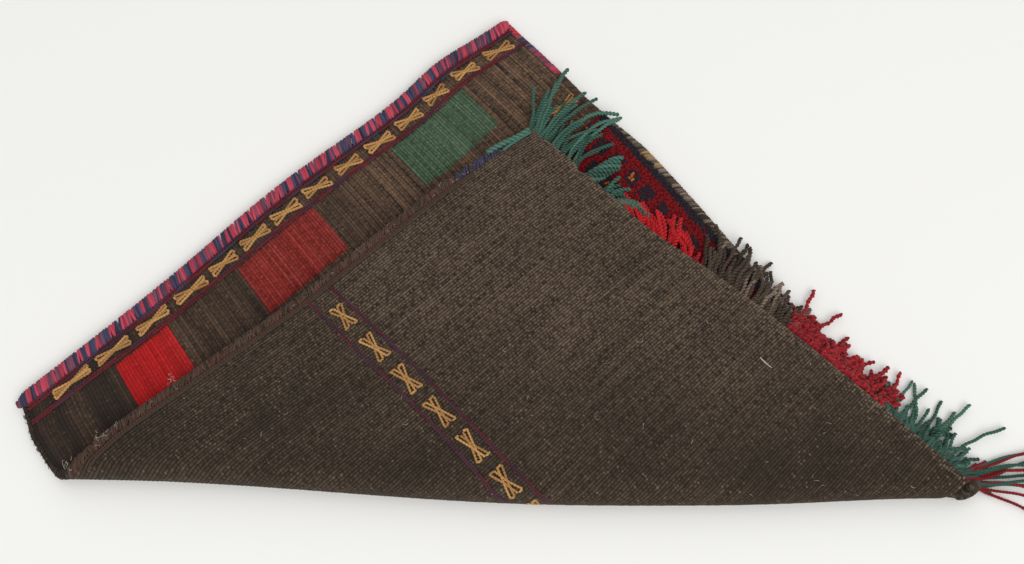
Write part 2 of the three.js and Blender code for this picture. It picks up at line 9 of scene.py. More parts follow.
# %% Load the frame
import math
from collections import namedtuple

import bpy
import numpy as np
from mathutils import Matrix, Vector


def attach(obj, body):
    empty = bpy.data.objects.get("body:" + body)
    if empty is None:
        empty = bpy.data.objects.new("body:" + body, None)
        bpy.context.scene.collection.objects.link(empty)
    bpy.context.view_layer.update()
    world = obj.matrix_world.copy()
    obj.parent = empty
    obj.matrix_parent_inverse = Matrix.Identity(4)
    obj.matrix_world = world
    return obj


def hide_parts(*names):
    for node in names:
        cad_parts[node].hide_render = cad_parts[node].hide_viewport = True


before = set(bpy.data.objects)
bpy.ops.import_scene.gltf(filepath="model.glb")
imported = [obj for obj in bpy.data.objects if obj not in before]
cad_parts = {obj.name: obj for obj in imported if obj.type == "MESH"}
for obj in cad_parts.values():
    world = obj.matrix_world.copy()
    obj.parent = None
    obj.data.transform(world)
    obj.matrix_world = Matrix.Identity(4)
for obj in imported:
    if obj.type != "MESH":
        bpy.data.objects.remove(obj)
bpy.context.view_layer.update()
MM = 0.001  # a weaver's numbers are in millimetres, and Blender's in metres

# %% [markdown]
# ## Camera
# The picture was taken by someone standing at the fold and looking down at the bag. The camera could be
# framed by eye, but its place was worked out from the floor's lines and the bag's corners, so it is
# written here as a place, a target and a lens. The target is the origin, which lies under the middle of
# the bag.

# %% Camera
CAMERA_AT = Vector((9.54, -410.8, 741.3)) * MM
SENSOR_WIDTH = 36.0
LENS = 48.375

camera_data = bpy.data.cameras.new("camera")
camera_data.sensor_width = SENSOR_WIDTH
camera_data.lens = LENS
camera = bpy.data.objects.new("camera", camera_data)
camera.location = CAMERA_AT
camera.rotation_euler = (-CAMERA_AT).to_track_quat("-Z", "Y").to_euler()
bpy.context.scene.collection.objects.link(camera)
bpy.context.scene.camera = camera
print("camera", round(CAMERA_AT.length, 3), "m from the middle of the bag")

# %% [markdown]
# ## Colours and nodes
# Colours are noted as they look on a screen, in sRGB hex. Cycles adds up light in linear numbers, so
# one function turns the first into the second. A second small function adds a node to a material, sets
# its properties, and fills each input with a value or with the output of another node.

# %% Colours and nodes
def linear(hex_colour):
    shares = [int(hex_colour[i:i + 2], 16) / 255 for i in (1, 3, 5)]
    return (*[s / 12.92 if s <= 0.04045 else ((s + 0.055) / 1.055) ** 2.4 for s in shares], 1.0)


def add_node(tree, kind, inputs, **settings):
    made = tree.nodes.new("ShaderNode" + kind)
    for name, value in settings.items():
        setattr(made, name, value)
    for socket, value in inputs.items():
        if isinstance(value, bpy.types.NodeSocket):
            tree.links.new(value, made.inputs[socket])
        else:
            made.inputs[socket].default_value = value
    return made


print("walnut brown in linear light:", [round(c, 3) for c in linear("#4a3a2c")])

# %% [markdown]
# ## Floor and light
# The bag lies on a pale floor under soft light from all sides. A plain plane in an even off-white is
# enough. The sky gives more than half of the light, at a level where a colour renders about as it is
# written. One large lamp far off, in front of the bag and to its right, keeps the shadow under the roll
# of the fold light and gives each rib and yarn a lit side.

# %% Floor and light
FLOOR_HALF = 6.0
LAMP_AT = Vector((1.2, -3.0, 3.6))
LAMP_SIZE = 3.5
LAMP_WATTS = 138.0
SKY_STRENGTH = 0.63

scene = bpy.context.scene
scene.view_settings.view_transform = "Standard"

floor_mesh = bpy.data.meshes.new("pale_floor")
corners = [(-FLOOR_HALF, -FLOOR_HALF, 0), (FLOOR_HALF, -FLOOR_HALF, 0),
           (FLOOR_HALF, FLOOR_HALF, 0), (-FLOOR_HALF, FLOOR_HALF, 0)]
floor_mesh.from_pydata(corners, [], [(0, 1, 2, 3)])
floor = bpy.data.objects.new("pale_floor", floor_mesh)
scene.collection.objects.link(floor)
# a rolled matt coat: it mirrors nothing, so the floor looks like one pale, even ground
paint = bpy.data.materials.new("matt_white_floor_paint")
paint.use_nodes = True
paint_shader = paint.node_tree.nodes["Principled BSDF"]
paint_shader.inputs["Base Color"].default_value = linear("#f5f4f0")
paint_shader.inputs["Roughness"].default_value = 0.8
paint_shader.inputs["Specular IOR Level"].default_value = 0.2
floor_mesh.materials.append(paint)

lamp_data = bpy.data.lights.new("soft_lamp", "AREA")
lamp_data.size = LAMP_SIZE
lamp_data.energy = LAMP_WATTS
lamp = bpy.data.objects.new("soft_lamp", lamp_data)
lamp.location = LAMP_AT
lamp.rotation_euler = (-LAMP_AT).to_track_quat("-Z", "Y").to_euler()
scene.collection.objects.link(lamp)

sky = bpy.data.worlds.new("studio")
sky.use_nodes = True
sky.node_tree.nodes["Background"].inputs["Color"].default_value = linear("#fdfeff")
sky.node_tree.nodes["Background"].inputs["Strength"].default_value = SKY_STRENGTH
scene.world = sky
print("lamp of", LAMP_WATTS, "W and a sky of", SKY_STRENGTH)

# %% [markdown]
# ## The lie of the cloth
# Everything on the bag is woven into, sewn to or knotted on one cloth, so everything is placed on that
# cloth: so far across (k, from 0 at the right side to 1 at the left), so far along a warp from the
# mouth, and so deep, from the outside of the back inwards. A cloth simulation could fold it, but a bag
# pressed flat for years folds on one straight line, and a formula keeps every yarn in its place. The
# sizes repeat those of the solids.

# %% The lie of the cloth: corners
MOUTH_WIDTH, FOLD_LENGTH = 388, 493
RIGHT_SIDE, RIGHT_STUB, RIGHT_STUB_ANGLE = 418, 15, 49
LEFT_STUB, LEFT_STUB_ANGLE = 59, 122
LEFT_FLAP, LEFT_FLAP_ANGLE = 354, 43.5
FOLD_LEFT = np.array([-247, -142.7])
FOLD_Y = FOLD_LEFT[1]


def bearing(degrees):
    return np.array([math.cos(math.radians(degrees)), math.sin(math.radians(degrees))])


def left_of(a, b):
    across = (b - a) / np.linalg.norm(b - a)
    return np.array([-across[1], across[0]])


def corner_between(a, from_a, b, from_b):
    span = np.linalg.norm(b - a)
    along = (from_a ** 2 - from_b ** 2 + span ** 2) / (2 * span)
    return a + (b - a) / span * along + left_of(a, b) * math.sqrt(from_a ** 2 - along ** 2)


FOLD_RIGHT = FOLD_LEFT + [FOLD_LENGTH, 0]
FOOT_LEFT = FOLD_LEFT + LEFT_FLAP * bearing(LEFT_FLAP_ANGLE)
FOOT_RIGHT = FOLD_RIGHT + RIGHT_STUB * bearing(RIGHT_STUB_ANGLE)
MOUTH_LEFT = FOLD_LEFT + LEFT_STUB * bearing(LEFT_STUB_ANGLE)
MOUTH_RIGHT = corner_between(MOUTH_LEFT, MOUTH_WIDTH, FOLD_RIGHT, RIGHT_SIDE)
FOOT_WIDTH = np.linalg.norm(FOOT_LEFT - FOOT_RIGHT)
MOUTH_INWARD = left_of(MOUTH_RIGHT, MOUTH_LEFT)
SIDE_OUTWARD = left_of(MOUTH_RIGHT, FOLD_RIGHT)
FOOT_OUTWARD = left_of(FOOT_LEFT, FOOT_RIGHT)
SHORT_OUTWARD = bearing(LEFT_STUB_ANGLE + 90)
LEFT_OUTWARD = bearing(LEFT_FLAP_ANGLE + 90) * [1, -1]  # before the flap is folded over
print("foot", round(FOOT_WIDTH), "mm wide, mouth corner at", MOUTH_RIGHT.round(1))

# %% The lie of the cloth: layers
BACK_CLOTH, INSIDE_GAP, FACE_CLOTH, PILE_HEIGHT, SEAT = 2.2, 0.4, 2.2, 4.6, 0.3
FACE_LOW = BACK_CLOTH + INSIDE_GAP
FACE_TOP = FACE_LOW + FACE_CLOTH
PILE_LOW = FACE_TOP + SEAT
PILE_TOP = PILE_LOW + PILE_HEIGHT
FOLD_RADIUS = PILE_TOP + SEAT
QUARTER = FOLD_RADIUS * math.pi / 2  # cloth taken up by a quarter of the fold's roll
PILE_START = 92  # from the mouth
FOLD_BOW, FOLD_BOW_SKEW, FOLD_BOW_REACH = 10, 1.15, 160
SAG, SAG_AT, SAG_REACH = 2.5, 0.82, 0.14  # the fold sags a little more here, as a share of its length
SIDE_BOW, FOOT_BOW = 11, 3
SIDE_SPREAD, MOUTH_WAVE = 7, 5  # the right side stands out at the mouth, and the mouth's edge waves
MOUTH_ZONE = 0.25  # share of the way to the fold at which both have died away
SPREAD_ZONE, LEFT_ZONE = 0.25, 0.4  # shares of the width that the spread and the left bulges take up
WAVES = ((50, 30), (188, 70))  # middle and reach of each wave, across from the right side
FLAP_DROOP, DROOP_REACH = 4, 40
HOLLOW_AT, HOLLOW_REACH, HOLLOW_DEPTH = 100, 45, 4.5  # the foot is drawn in here, from its left corner
NICK_AT, NICK_REACH, NICK_DEPTH = 44, 3.5, 2.5  # and has a worn nick here
SLACK, SLACK_FROM = 0.9, 60  # height of the soft waves in the flap, and where they are full, from the fold
SLACK_WAVES = ((37, 52, 0), (61, -29, 2))  # how slowly each goes along x and y, and its start
# the flap's left edge bulges: the share of the way to the foot, and how far it stands out there
BULGE_AT = (0, 0.04, 0.1, 0.2, 0.46, 0.79, 0.92, 1)
BULGE = (0, 6, 8.5, 7, 3.4, 6.2, 4.4, 1)
SHORT_BULGE_AT, SHORT_BULGE = (0, 0.3, 0.65, 1), (1.5, 4, 2, 0)  # the same below the fold

print("cloth", round(FACE_TOP, 1), "mm through, roll of the fold", round(FOLD_RADIUS, 1), "mm in radius")

# %% The lie of the cloth: folding
def bow(t):
    t = np.clip(t, 0, 1)
    return 6.75 * t * (1 - t) ** 2  # 1 where it stands out most, at a third of the way


def hump(at, middle, reach):
    return np.exp(-((at - middle) / reach) ** 2)


def warp(k):
    k = np.asarray(k, float)[..., None]
    mouth = MOUTH_RIGHT + (MOUTH_LEFT - MOUTH_RIGHT) * k - [0, FOLD_Y]
    fold = (FOLD_RIGHT + (FOLD_LEFT - FOLD_RIGHT) * k) * [1, 0]
    from_left = (1 - k) * FOOT_WIDTH
    drawn_in = HOLLOW_DEPTH * hump(from_left, HOLLOW_AT, HOLLOW_REACH)
    drawn_in = drawn_in + NICK_DEPTH * hump(from_left, NICK_AT, NICK_REACH)
    foot = FOOT_RIGHT + (FOOT_LEFT - FOOT_RIGHT) * k + FOOT_OUTWARD * (FOOT_BOW * bow(k) - drawn_in)
    foot = [0, FOLD_Y] + foot * [1, -1]
    to_fold = np.linalg.norm(mouth - fold, axis=-1)
    return mouth, fold, foot, to_fold, to_fold + np.linalg.norm(fold - foot, axis=-1)


def flat(k, along):
    k, along = np.broadcast_arrays(np.asarray(k, float), np.asarray(along, float))
    mouth, fold, foot, to_fold, length = warp(k)
    t = (along / to_fold)[..., None]
    inside_k = np.clip(k, 0, 1)[..., None]
    near_mouth = np.clip(1 - t / MOUTH_ZONE, 0, 1)
    spread = SIDE_SPREAD * np.clip(1 - inside_k / SPREAD_ZONE, 0, 1) ** 2 * near_mouth
    wave = MOUTH_WAVE * sum(hump(inside_k * MOUTH_WIDTH, *place) for place in WAVES) * near_mouth
    bowed = SIDE_OUTWARD * (SIDE_BOW * bow(t) * (1 - inside_k) ** 2 + spread) - MOUTH_INWARD * wave
    near_left = np.clip(k[..., None] / LEFT_ZONE - (1 / LEFT_ZONE - 1), 0, 1) ** 2
    below = mouth + (fold - mouth) * t + bowed
    below = below + SHORT_OUTWARD * np.interp(t, SHORT_BULGE_AT, SHORT_BULGE) * near_left ** 2
    up = ((along - to_fold) / (length - to_fold))[..., None]
    above = fold + (foot - fold) * up + LEFT_OUTWARD * np.interp(up, BULGE_AT, BULGE) * near_left
    return np.where(t > 1, above, below)


def turned(reach):
    return (1 - np.cos(np.clip((QUARTER - reach) / FOLD_RADIUS, 0, math.pi))) / 2


def lay(point, depth):
    x, reach = point[..., 0], point[..., 1]
    angle = np.clip((QUARTER - reach) / FOLD_RADIUS, 0, math.pi)
    radius = FOLD_RADIUS - depth
    y = QUARTER - radius * np.sin(angle) + np.maximum(0, np.abs(reach) - QUARTER)
    z = FOLD_RADIUS - radius * np.cos(angle)
    from_mouth = (x - MOUTH_RIGHT[0]) * MOUTH_INWARD[0] + (FOLD_Y + y - MOUTH_RIGHT[1]) * MOUTH_INWARD[1]
    z = z - FLAP_DROOP * turned(reach) * np.clip((PILE_START - from_mouth) / DROOP_REACH, 0, 1)
    slack = sum(np.sin(x / slow_x + y / slow_y + start) for slow_x, slow_y, start in SLACK_WAVES)
    z = z + SLACK / 2 * slack * turned(reach) * np.clip(y / SLACK_FROM, 0, 1)
    share = np.clip((x - FOLD_LEFT[0]) / FOLD_LENGTH, 0, 1)
    bowed = FOLD_BOW * np.sin(math.pi * share ** FOLD_BOW_SKEW) ** 2 + SAG * hump(share, SAG_AT, SAG_REACH)
    y = y - bowed * np.clip(1 - y / FOLD_BOW_REACH, 0, 1) ** 2
    return np.stack([x, FOLD_Y + y, z], -1)


def on_cloth(k, along, depth):
    return lay(flat(k, along), depth)


print("from mouth to foot:", [round(float(warp(k)[4])) for k in (0, 1)], "mm on the right and on the left")

# %% [markdown]
# ## Making meshes
# Blender builds a mesh from points and faces. Most pieces here are many small closed bodies of yarn, so
# a skein gathers them, and each body brings a dye (which material its faces take) and a shade (how
# light or dark that length of yarn came out of the dye pot). On twisted yarn the skein adds painted shade
# to it, darker in the groove between the plies and lighter on their crowns. The shade is kept on the
# points, where the material can read it.

# %% Making meshes
def make_piece(name, points, faces, materials, dyes=None, shades=None, weave=None):
    mesh = bpy.data.meshes.new(name)
    corners = np.concatenate([f.ravel() for f in faces]).astype(np.int32)
    sides = np.concatenate([np.full(len(f), f.shape[1]) for f in faces])
    mesh.vertices.add(len(points))
    mesh.vertices.foreach_set("co", (points * MM).astype(np.float32).ravel())
    mesh.loops.add(len(corners))
    mesh.loops.foreach_set("vertex_index", corners)
    mesh.polygons.add(len(sides))
    mesh.polygons.foreach_set("loop_start", (np.cumsum(sides) - sides).astype(np.int32))
    if dyes is not None:
        mesh.polygons.foreach_set("material_index", np.asarray(dyes, np.int32))
    for key, values in (shades or {}).items():
        mesh.attributes.new(key, "FLOAT", "POINT").data.foreach_set("value", values.astype(np.float32))
    if weave is not None:
        mesh.uv_layers.new(name="weave").data.foreach_set("uv", weave[corners].astype(np.float32).ravel())
    for material in materials:
        mesh.materials.append(material)
    mesh.update(calc_edges=True)
    mesh.shade_smooth()
    piece = bpy.data.objects.new(name, mesh)
    scene.collection.objects.link(piece)
    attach(piece, "root")
    return piece


def grid(rows, columns, first=0):
    corner = first + np.arange(rows - 1)[:, None] * columns + np.arange(columns - 1)
    return np.stack([corner, corner + 1, corner + columns + 1, corner + columns], -1).reshape(-1, 4)


print("three rows of four points make", len(grid(3, 4)), "faces")

# %% A skein of bodies
PLY_SHADE = 0.5  # painted shade: yarn is coloured so much darker in the groove between its plies, and lighter on their crowns


class Skein:
    def __init__(self, rack):
        self.rack, self.count = rack, 0
        self.points, self.faces, self.dyes, self.shades = [], [], [], []

    def add(self, body, dye, shade):
        points, faces, *plies = body
        number = self.rack.index(dye)
        self.points.append(points)
        self.faces += [f + self.count for f in faces]
        self.dyes += [np.full(len(f), number) for f in faces]
        # painted shade between the plies is added to the length's dye-pot shade
        self.shades.append(shade + np.zeros(len(points)) + PLY_SHADE * sum(plies))
        self.count += len(points)

    def piece(self, name):
        made = make_piece(name, np.concatenate(self.points), self.faces, self.rack,
                          np.concatenate(self.dyes), {"shade": np.concatenate(self.shades)})
        triangles = sum(len(f) * (f.shape[1] - 2) for f in self.faces)
        print(name, len(self.points), "bodies,", triangles, "triangles")
        return made


def pick(draws, dyes):
    return dyes[draws.choice(len(dyes))]


print("the groove between two plies is darker by a shade of", PLY_SHADE)

# %% [markdown]
# A length of yarn is a tube that follows a line. Spun yarn is two thinner plies twisted round each
# other, so the tube's section has two lobes that turn along the line. Blender's curve bevel could sweep
# a round tube, but only a section that turns shows the twist in its outline. A small cone closes each
# end, as a cut yarn is closed.

# %% Yarn
END_CONE = 0.6  # height of the cone at a yarn's end, in radii


def unit(vectors):
    return vectors / np.maximum(np.linalg.norm(vectors, axis=-1, keepdims=True), 1e-9)


def frames_along(line):
    ahead = unit(np.gradient(line, axis=0))
    up = np.array([0, 0, 1.0]) if abs(ahead[0][2]) < 0.9 else np.array([1.0, 0, 0])
    ups = []
    for direction in ahead:
        up = unit(up - direction * (up @ direction))
        ups.append(up)
    return ahead, np.array(ups), np.cross(ahead, ups)


def reach_along(line):
    return np.concatenate([[0], np.cumsum(np.linalg.norm(np.diff(line, axis=0), axis=1))])


def yarn(line, radius, sides=6, lobes=0.0, twist=6.0):
    ahead, up, aside = frames_along(line)
    radius = np.broadcast_to(radius, len(line))
    angle = np.arange(sides) * 2 * math.pi / sides + np.zeros((len(line), 1))
    plies = np.cos(2 * (angle - 2 * math.pi * reach_along(line)[:, None] / twist))
    size = radius[:, None] * (1 - lobes + lobes * plies)
    rings = line[:, None] + size[..., None] * (np.cos(angle)[..., None] * up[:, None]
                                               + np.sin(angle)[..., None] * aside[:, None])
    ends = [line[0] - ahead[0] * radius[0] * END_CONE, line[-1] + ahead[-1] * radius[-1] * END_CONE]
    points = np.concatenate([rings.reshape(-1, 3), ends])
    side = np.arange(sides)
    after = (side + 1) % sides
    start = np.arange(len(line) - 1)[:, None] * sides
    walls = np.stack([start + side, start + after, start + sides + after, start + sides + side], -1)
    last = (len(line) - 1) * sides
    first_cap = np.stack([np.full(sides, len(points) - 2), after, side], -1)
    last_cap = np.stack([np.full(sides, len(points) - 1), last + side, last + after], -1)
    faces = [walls.reshape(-1, 4), np.concatenate([first_cap, last_cap])]
    # the third part marks painted shade: 1 on a ply's crown, -1 in the groove between plies and at the end
    # cones, 0 on yarn without plies
    return points, faces, np.append(plies.ravel(), [-1, -1]) * (lobes > 0)


def evenly(line, pitch, *others):
    reach = reach_along(line)
    count = max(2, round(reach[-1] / pitch))
    wanted = (np.arange(count) + 0.5) * reach[-1] / count
    spaced = [np.stack([np.interp(wanted, reach, column) for column in values.T], -1)
              for values in (line, *others)]
    return wanted, *spaced


trial = yarn(np.array([[0, 0, 0], [5.0, 0, 0], [10.0, 1, 0]]), 1.5)
print("a yarn of two steps has", sum(len(f) for f in trial[1]), "faces")

# %% [markdown]
# ## Wool
# All of it is sheep's wool: spun, dyed and never shorn smooth. Keratin bends light about as glass does,
# but the scales and loose fibres scatter it, so the gloss is nearly gone and a pale sheen stands on the
# rims. The first material is yarn as fringe, wrapping or pile: two tones of one dye, mixed by the
# yarn's shade and by a fine noise. Wool fibre is 0.03 mm thick, far too fine to show here, so the fibre
# noise is drawn at 0.7 mm.

# %% Nodes for wool
WOOL_IOR = 1.55


def reckon(tree, operation, *values):
    return add_node(tree, "Math", dict(enumerate(values)), operation=operation).outputs[0]


def ranged(tree, value, low, high, top=1.0):
    inputs = {"Value": value, "From Min": low, "From Max": high, "To Max": top}
    return add_node(tree, "MapRange", inputs).outputs[0]


def blend(tree, share, first, second):
    return add_node(tree, "Mix", {0: share, 6: first, 7: second}, data_type="RGBA").outputs[2]


def kept_on_points(tree, name):
    return add_node(tree, "Attribute", {}, attribute_name=name).outputs["Fac"]


def start_wool(name, sheen):
    material = bpy.data.materials.new(name)
    material.use_nodes = True
    shader = material.node_tree.nodes["Principled BSDF"]
    for socket, value in {"Roughness": 0.94, "IOR": WOOL_IOR, "Specular IOR Level": 0.18,
                          "Sheen Weight": sheen, "Sheen Roughness": 0.45}.items():
        shader.inputs[socket].default_value = value
    return material, material.node_tree, shader


def finish_wool(tree, shader, colour, height, strength, deep):
    bump = add_node(tree, "Bump", {"Strength": strength, "Distance": deep * MM, "Height": height})
    tree.links.new(colour, shader.inputs["Base Color"])
    tree.links.new(bump.outputs[0], shader.inputs["Normal"])


print("wool bends light by", WOOL_IOR)

# %% Yarn wool
FIBRE = 0.7
SHADES = (0.3, 1.7)  # the yarn's shade and the fibre noise add up to a number between these


def yarn_wool(name, dark, light, sheen=0.08):
    material, tree, shader = start_wool(name, sheen)
    place = add_node(tree, "TexCoord", {}).outputs["Object"]
    noise = {"Vector": place, "Scale": 1 / (FIBRE * MM), "Detail": 3.0}
    fibre = add_node(tree, "TexNoise", noise).outputs[0]
    tone = ranged(tree, reckon(tree, "ADD", kept_on_points(tree, "shade"), fibre), *SHADES)
    finish_wool(tree, shader, blend(tree, tone, linear(dark), linear(light)), fibre, strength=0.5, deep=0.3)
    return material


# two tones of each dye: a length's own shade picks between them, and painted shade darkens the groove
# between the plies and lightens their crowns
GREEN = yarn_wool("green_dyed_wool_yarn", "#19332b", "#4f7767")
SCARLET = yarn_wool("scarlet_dyed_wool_yarn", "#7c080c", "#ce252c")
CRIMSON = yarn_wool("crimson_dyed_wool_yarn", "#5e1014", "#aa2a30")
ROSE = yarn_wool("rose_dyed_wool_yarn", "#8e2e40", "#cb5062")
MAUVE = yarn_wool("mauve_dyed_wool_yarn", "#56303f", "#865266")
PLUM = yarn_wool("plum_dyed_wool_yarn", "#38202e", "#64394c")
INDIGO = yarn_wool("indigo_dyed_wool_yarn", "#262536", "#524f6c")
RUSSET = yarn_wool("russet_dyed_wool_yarn", "#3a241d", "#6b473c")
MAROON = yarn_wool("maroon_dyed_wool_yarn", "#45151b", "#853038")
DARK_BROWN = yarn_wool("natural_dark_brown_wool_yarn", "#1c1712", "#42372d")
BROWN = yarn_wool("natural_brown_wool_yarn", "#2b231c", "#5d4e40")
GREY_BROWN = yarn_wool("natural_grey_brown_wool_yarn", "#4a3f36", "#968271")
TAN = yarn_wool("natural_tan_wool_yarn", "#7d6238", "#c09a5e")
GOLD = yarn_wool("gold_dyed_wool_yarn", "#7b4f27", "#cd9e62")
print("yarn materials:", len(bpy.data.materials) - 1)

# %% [markdown]
# ## Weft-faced cloth
# In a weft-faced weave the wefts are beaten down until they hide the warps, which show only as ribs,
# here 2 mm apart. Each weft bends over one warp and under the next, so the cloth is rows of small
# beads, and no two beads took the dye alike. The UV map counts ribs across and millimetres along, so
# one bead is one cell of that map and white noise can dye each by itself. A weft is 0.6 mm thick, too
# fine to show, so beads are drawn coarser, at 0.7 mm or more.

# %% Noise on the weave
RIBS = 194
RIB_PITCH = MOUTH_WIDTH / RIBS


def cell_noise(tree, rib, along, cell, stagger):
    shifted = reckon(tree, "MULTIPLY_ADD", rib, stagger, reckon(tree, "MULTIPLY", along, 1 / cell))
    place = add_node(tree, "CombineXYZ", {0: rib, 1: reckon(tree, "FLOOR", shifted)}).outputs[0]
    noise = add_node(tree, "TexWhiteNoise", {"Vector": place}, noise_dimensions="2D").outputs["Value"]
    return noise, shifted


def drawn_out_noise(tree, weave, wide, long, detail):
    stretch = {0: weave, 1: (RIB_PITCH / wide, 1 / long, 0)}
    place = add_node(tree, "VectorMath", stretch, operation="MULTIPLY").outputs[0]
    return add_node(tree, "TexNoise", {"Vector": place, "Scale": 1.0, "Detail": detail}).outputs[0]


print("ribs", round(RIB_PITCH, 2), "mm apart")

# %% Two ways to weave
Weave = namedtuple("Weave", (
    "groove",  # painted shade: how dark the groove between two ribs is coloured
    "bead", "uneven",  # length of a bead in mm, and how unlike its neighbours it is dyed
    "streak", "streaky",  # length of a streak along a rib in mm, and how strong it is
    "patch",  # width and length of a patch that handling has paled, in mm
    "fleck_long", "fleck_share",  # length of a pale fleck in mm, and the share of flecks
    "worn", "weft_rows",  # how many more flecks show at a worn edge, and in a slack row across the ribs
))
BACK_WEAVE = Weave(groove=0.75, bead=0.8, uneven=0.42, streak=60, streaky=0.6, patch=(60, 60),
                   fleck_long=0.8, fleck_share=0.03, worn=0.35, weft_rows=0.15)
FACE_WEAVE = Weave(groove=0.45, bead=0.7, uneven=0.3, streak=160, streaky=0.95, patch=(16, 160),
                   fleck_long=0.7, fleck_share=0.02, worn=0.0, weft_rows=0.0)
print("a bead is", BACK_WEAVE.bead, "mm long on the back and", FACE_WEAVE.bead, "mm on the face")

# %% Weft-faced wool
WOVEN_SHEEN = 0.04
BEAD_STAGGER, FLECK_STAGGER = 0.5, 0.37  # shift from one rib to the next, as a share of a bead or fleck
PATCHY, PALING = 1.5, (0.6, 1.7)  # handling patches count so much beside the tone ramp, and the sum pales the cloth between these
STREAK_WIDE = 2.2
DEEP_SPAN = 0.25  # a bead is darkest so far below the middle tone, and plain so far above it
WEFT_ROW = (22.0, 1.4)  # a row of bare warps beside one weft: its run across the ribs, and its width
SLACK_ROW = (0.52, 0.8)  # noise between these makes a row slack
PALING_BARES = 0.03  # paler places, from handling patches and the tone ramp, show so many more flecks
FLECK_BLUR, FLECK_PALE = 0.06, 0.8
RIB_FLANK, RIB_FOOT = 0.2, 0.46  # painted shade in the groove starts and is full so far from the middle of a rib


def woven_wool(name, how, tones, groove, fleck):
    material, tree, shader = start_wool(name, WOVEN_SHEEN)
    plain, pale_tone, deep = [linear(tone) for tone in tones]
    weave = add_node(tree, "UVMap", {}, uv_map="weave").outputs[0]
    across, along, _ = add_node(tree, "SeparateXYZ", {0: weave}).outputs
    rib = reckon(tree, "FLOOR", across)
    own, beat = cell_noise(tree, rib, along, how.bead, BEAD_STAGGER)
    spots, _ = cell_noise(tree, rib, along, how.fleck_long, FLECK_STAGGER)

    patches = drawn_out_noise(tree, weave, *how.patch, detail=4.0)
    # the tone ramp kept on the points adds to the handling patches, and both pale the cloth
    patches_and_ramp = reckon(tree, "MULTIPLY_ADD", patches, PATCHY, kept_on_points(tree, "tone_ramp"))
    paling = ranged(tree, patches_and_ramp, *PALING)
    base = blend(tree, paling, plain, pale_tone)

    streaks = drawn_out_noise(tree, weave, STREAK_WIDE, how.streak, detail=2.0)
    ribbon = reckon(tree, "MULTIPLY", streaks, how.streaky)
    uneven = reckon(tree, "MULTIPLY_ADD", own, how.uneven, ribbon)
    middle = (how.uneven + how.streaky) / 2
    toned = blend(tree, ranged(tree, uneven, middle + DEEP_SPAN, middle - DEEP_SPAN), base, deep)

    bared = reckon(tree, "MULTIPLY_ADD", kept_on_points(tree, "wear"), how.worn, spots)
    bared = reckon(tree, "MULTIPLY_ADD", paling, PALING_BARES, bared)
    slack_row = ranged(tree, drawn_out_noise(tree, weave, *WEFT_ROW, detail=2.0), *SLACK_ROW)
    bared = reckon(tree, "MULTIPLY_ADD", slack_row, how.weft_rows, bared)
    shown = ranged(tree, bared, 1 - how.fleck_share, 1 + FLECK_BLUR - how.fleck_share, FLECK_PALE)
    flecked = blend(tree, shown, toned, linear(fleck))

    # painted shade: between two ribs the colour is drawn towards the dark groove colour, where shade falls
    aside = reckon(tree, "SUBTRACT", reckon(tree, "FRACT", across), 0.5)
    groove_shade_mask = ranged(tree, reckon(tree, "ABSOLUTE", aside), RIB_FLANK, RIB_FOOT, how.groove)
    colour = blend(tree, groove_shade_mask, flecked, linear(groove))
    swell = reckon(tree, "SINE", reckon(tree, "MULTIPLY", beat, 2 * math.pi))
    rough = reckon(tree, "MULTIPLY_ADD", own, 1.5, swell)
    finish_wool(tree, shader, colour, rough, strength=0.6, deep=0.25)
    return material


# painted shade in the ribs' grooves and the unevenly dyed beads make a heathered brown that never looks
# flat
BACK_WOOL = woven_wool("weft_faced_brown_wool", BACK_WEAVE, ("#473b2f", "#746151", "#2f261d"),
                       groove="#1d160f", fleck="#7d6b57")
BAND_WOOL = woven_wool("flat_woven_brown_wool", FACE_WEAVE, ("#2a231d", "#846650", "#2a211a"),
                       groove="#17120e", fleck="#8a6e50")
print("weft-faced wools:", BACK_WOOL.name, BAND_WOOL.name)

# %% [markdown]
# ## The strip of cloth
# The strip runs from the mouth down the back, round the foot and up the face, so its outside is one
# long sheet of rows: under the bag, round the fold, over the flap, round the foot and back. Bump could
# draw the ribs, but they show in the outline of every edge, so they are real: three points to a rib,
# one in the groove and two on the crest. The inside of the bag is a second, coarser sheet, and the rims
# between the two close the mesh.

# %% Rows of points on the cloth
RIB_POINTS = 3
RIB_HEIGHT = 0.6
RIB_UNLIKE = (0.6, 1.15)  # no two ribs stand equally high
FACE_RIBS = 0.35  # the band's ribs are so much lower
INSIDE_COLUMNS = 23
BACK_LIP = 6.0
FOOT_WRAP = 2.0
ROLL_MOST = 0.9  # where the flap is short, the roll takes up no more of it than this

ribs = np.random.default_rng(11)
fine = np.arange(RIBS * RIB_POINTS + 1) / (RIBS * RIB_POINTS)
crest = np.where(np.arange(len(fine)) % RIB_POINTS == 0, 0.0, 1.0)
crest *= np.repeat(ribs.uniform(*RIB_UNLIKE, RIBS + 1), RIB_POINTS)[:len(fine)] * RIB_HEIGHT
face_crest = FACE_RIBS * crest
coarse = np.linspace(0, 1, INSIDE_COLUMNS)


def rows_along(k, start, lower, roll, upper):
    mouth, _, foot, to_fold, length = warp(k)
    roll_start = to_fold * (1 - QUARTER / mouth[:, 1])
    roll_end = to_fold + (length - to_fold) * QUARTER / -foot[:, 1]
    roll_end = np.minimum(roll_end, roll_start + ROLL_MOST * (length - roll_start))
    return np.concatenate([
        np.linspace(np.full(len(k), start), roll_start, lower, endpoint=False),
        np.linspace(roll_start, roll_end, roll, endpoint=False),
        np.linspace(roll_end, length, upper),
    ])


def foot_turn(k, depths, past):
    length = warp(k)[4]
    return np.stack([on_cloth(k, length + out, depth) for depth, out in zip(depths, past)])


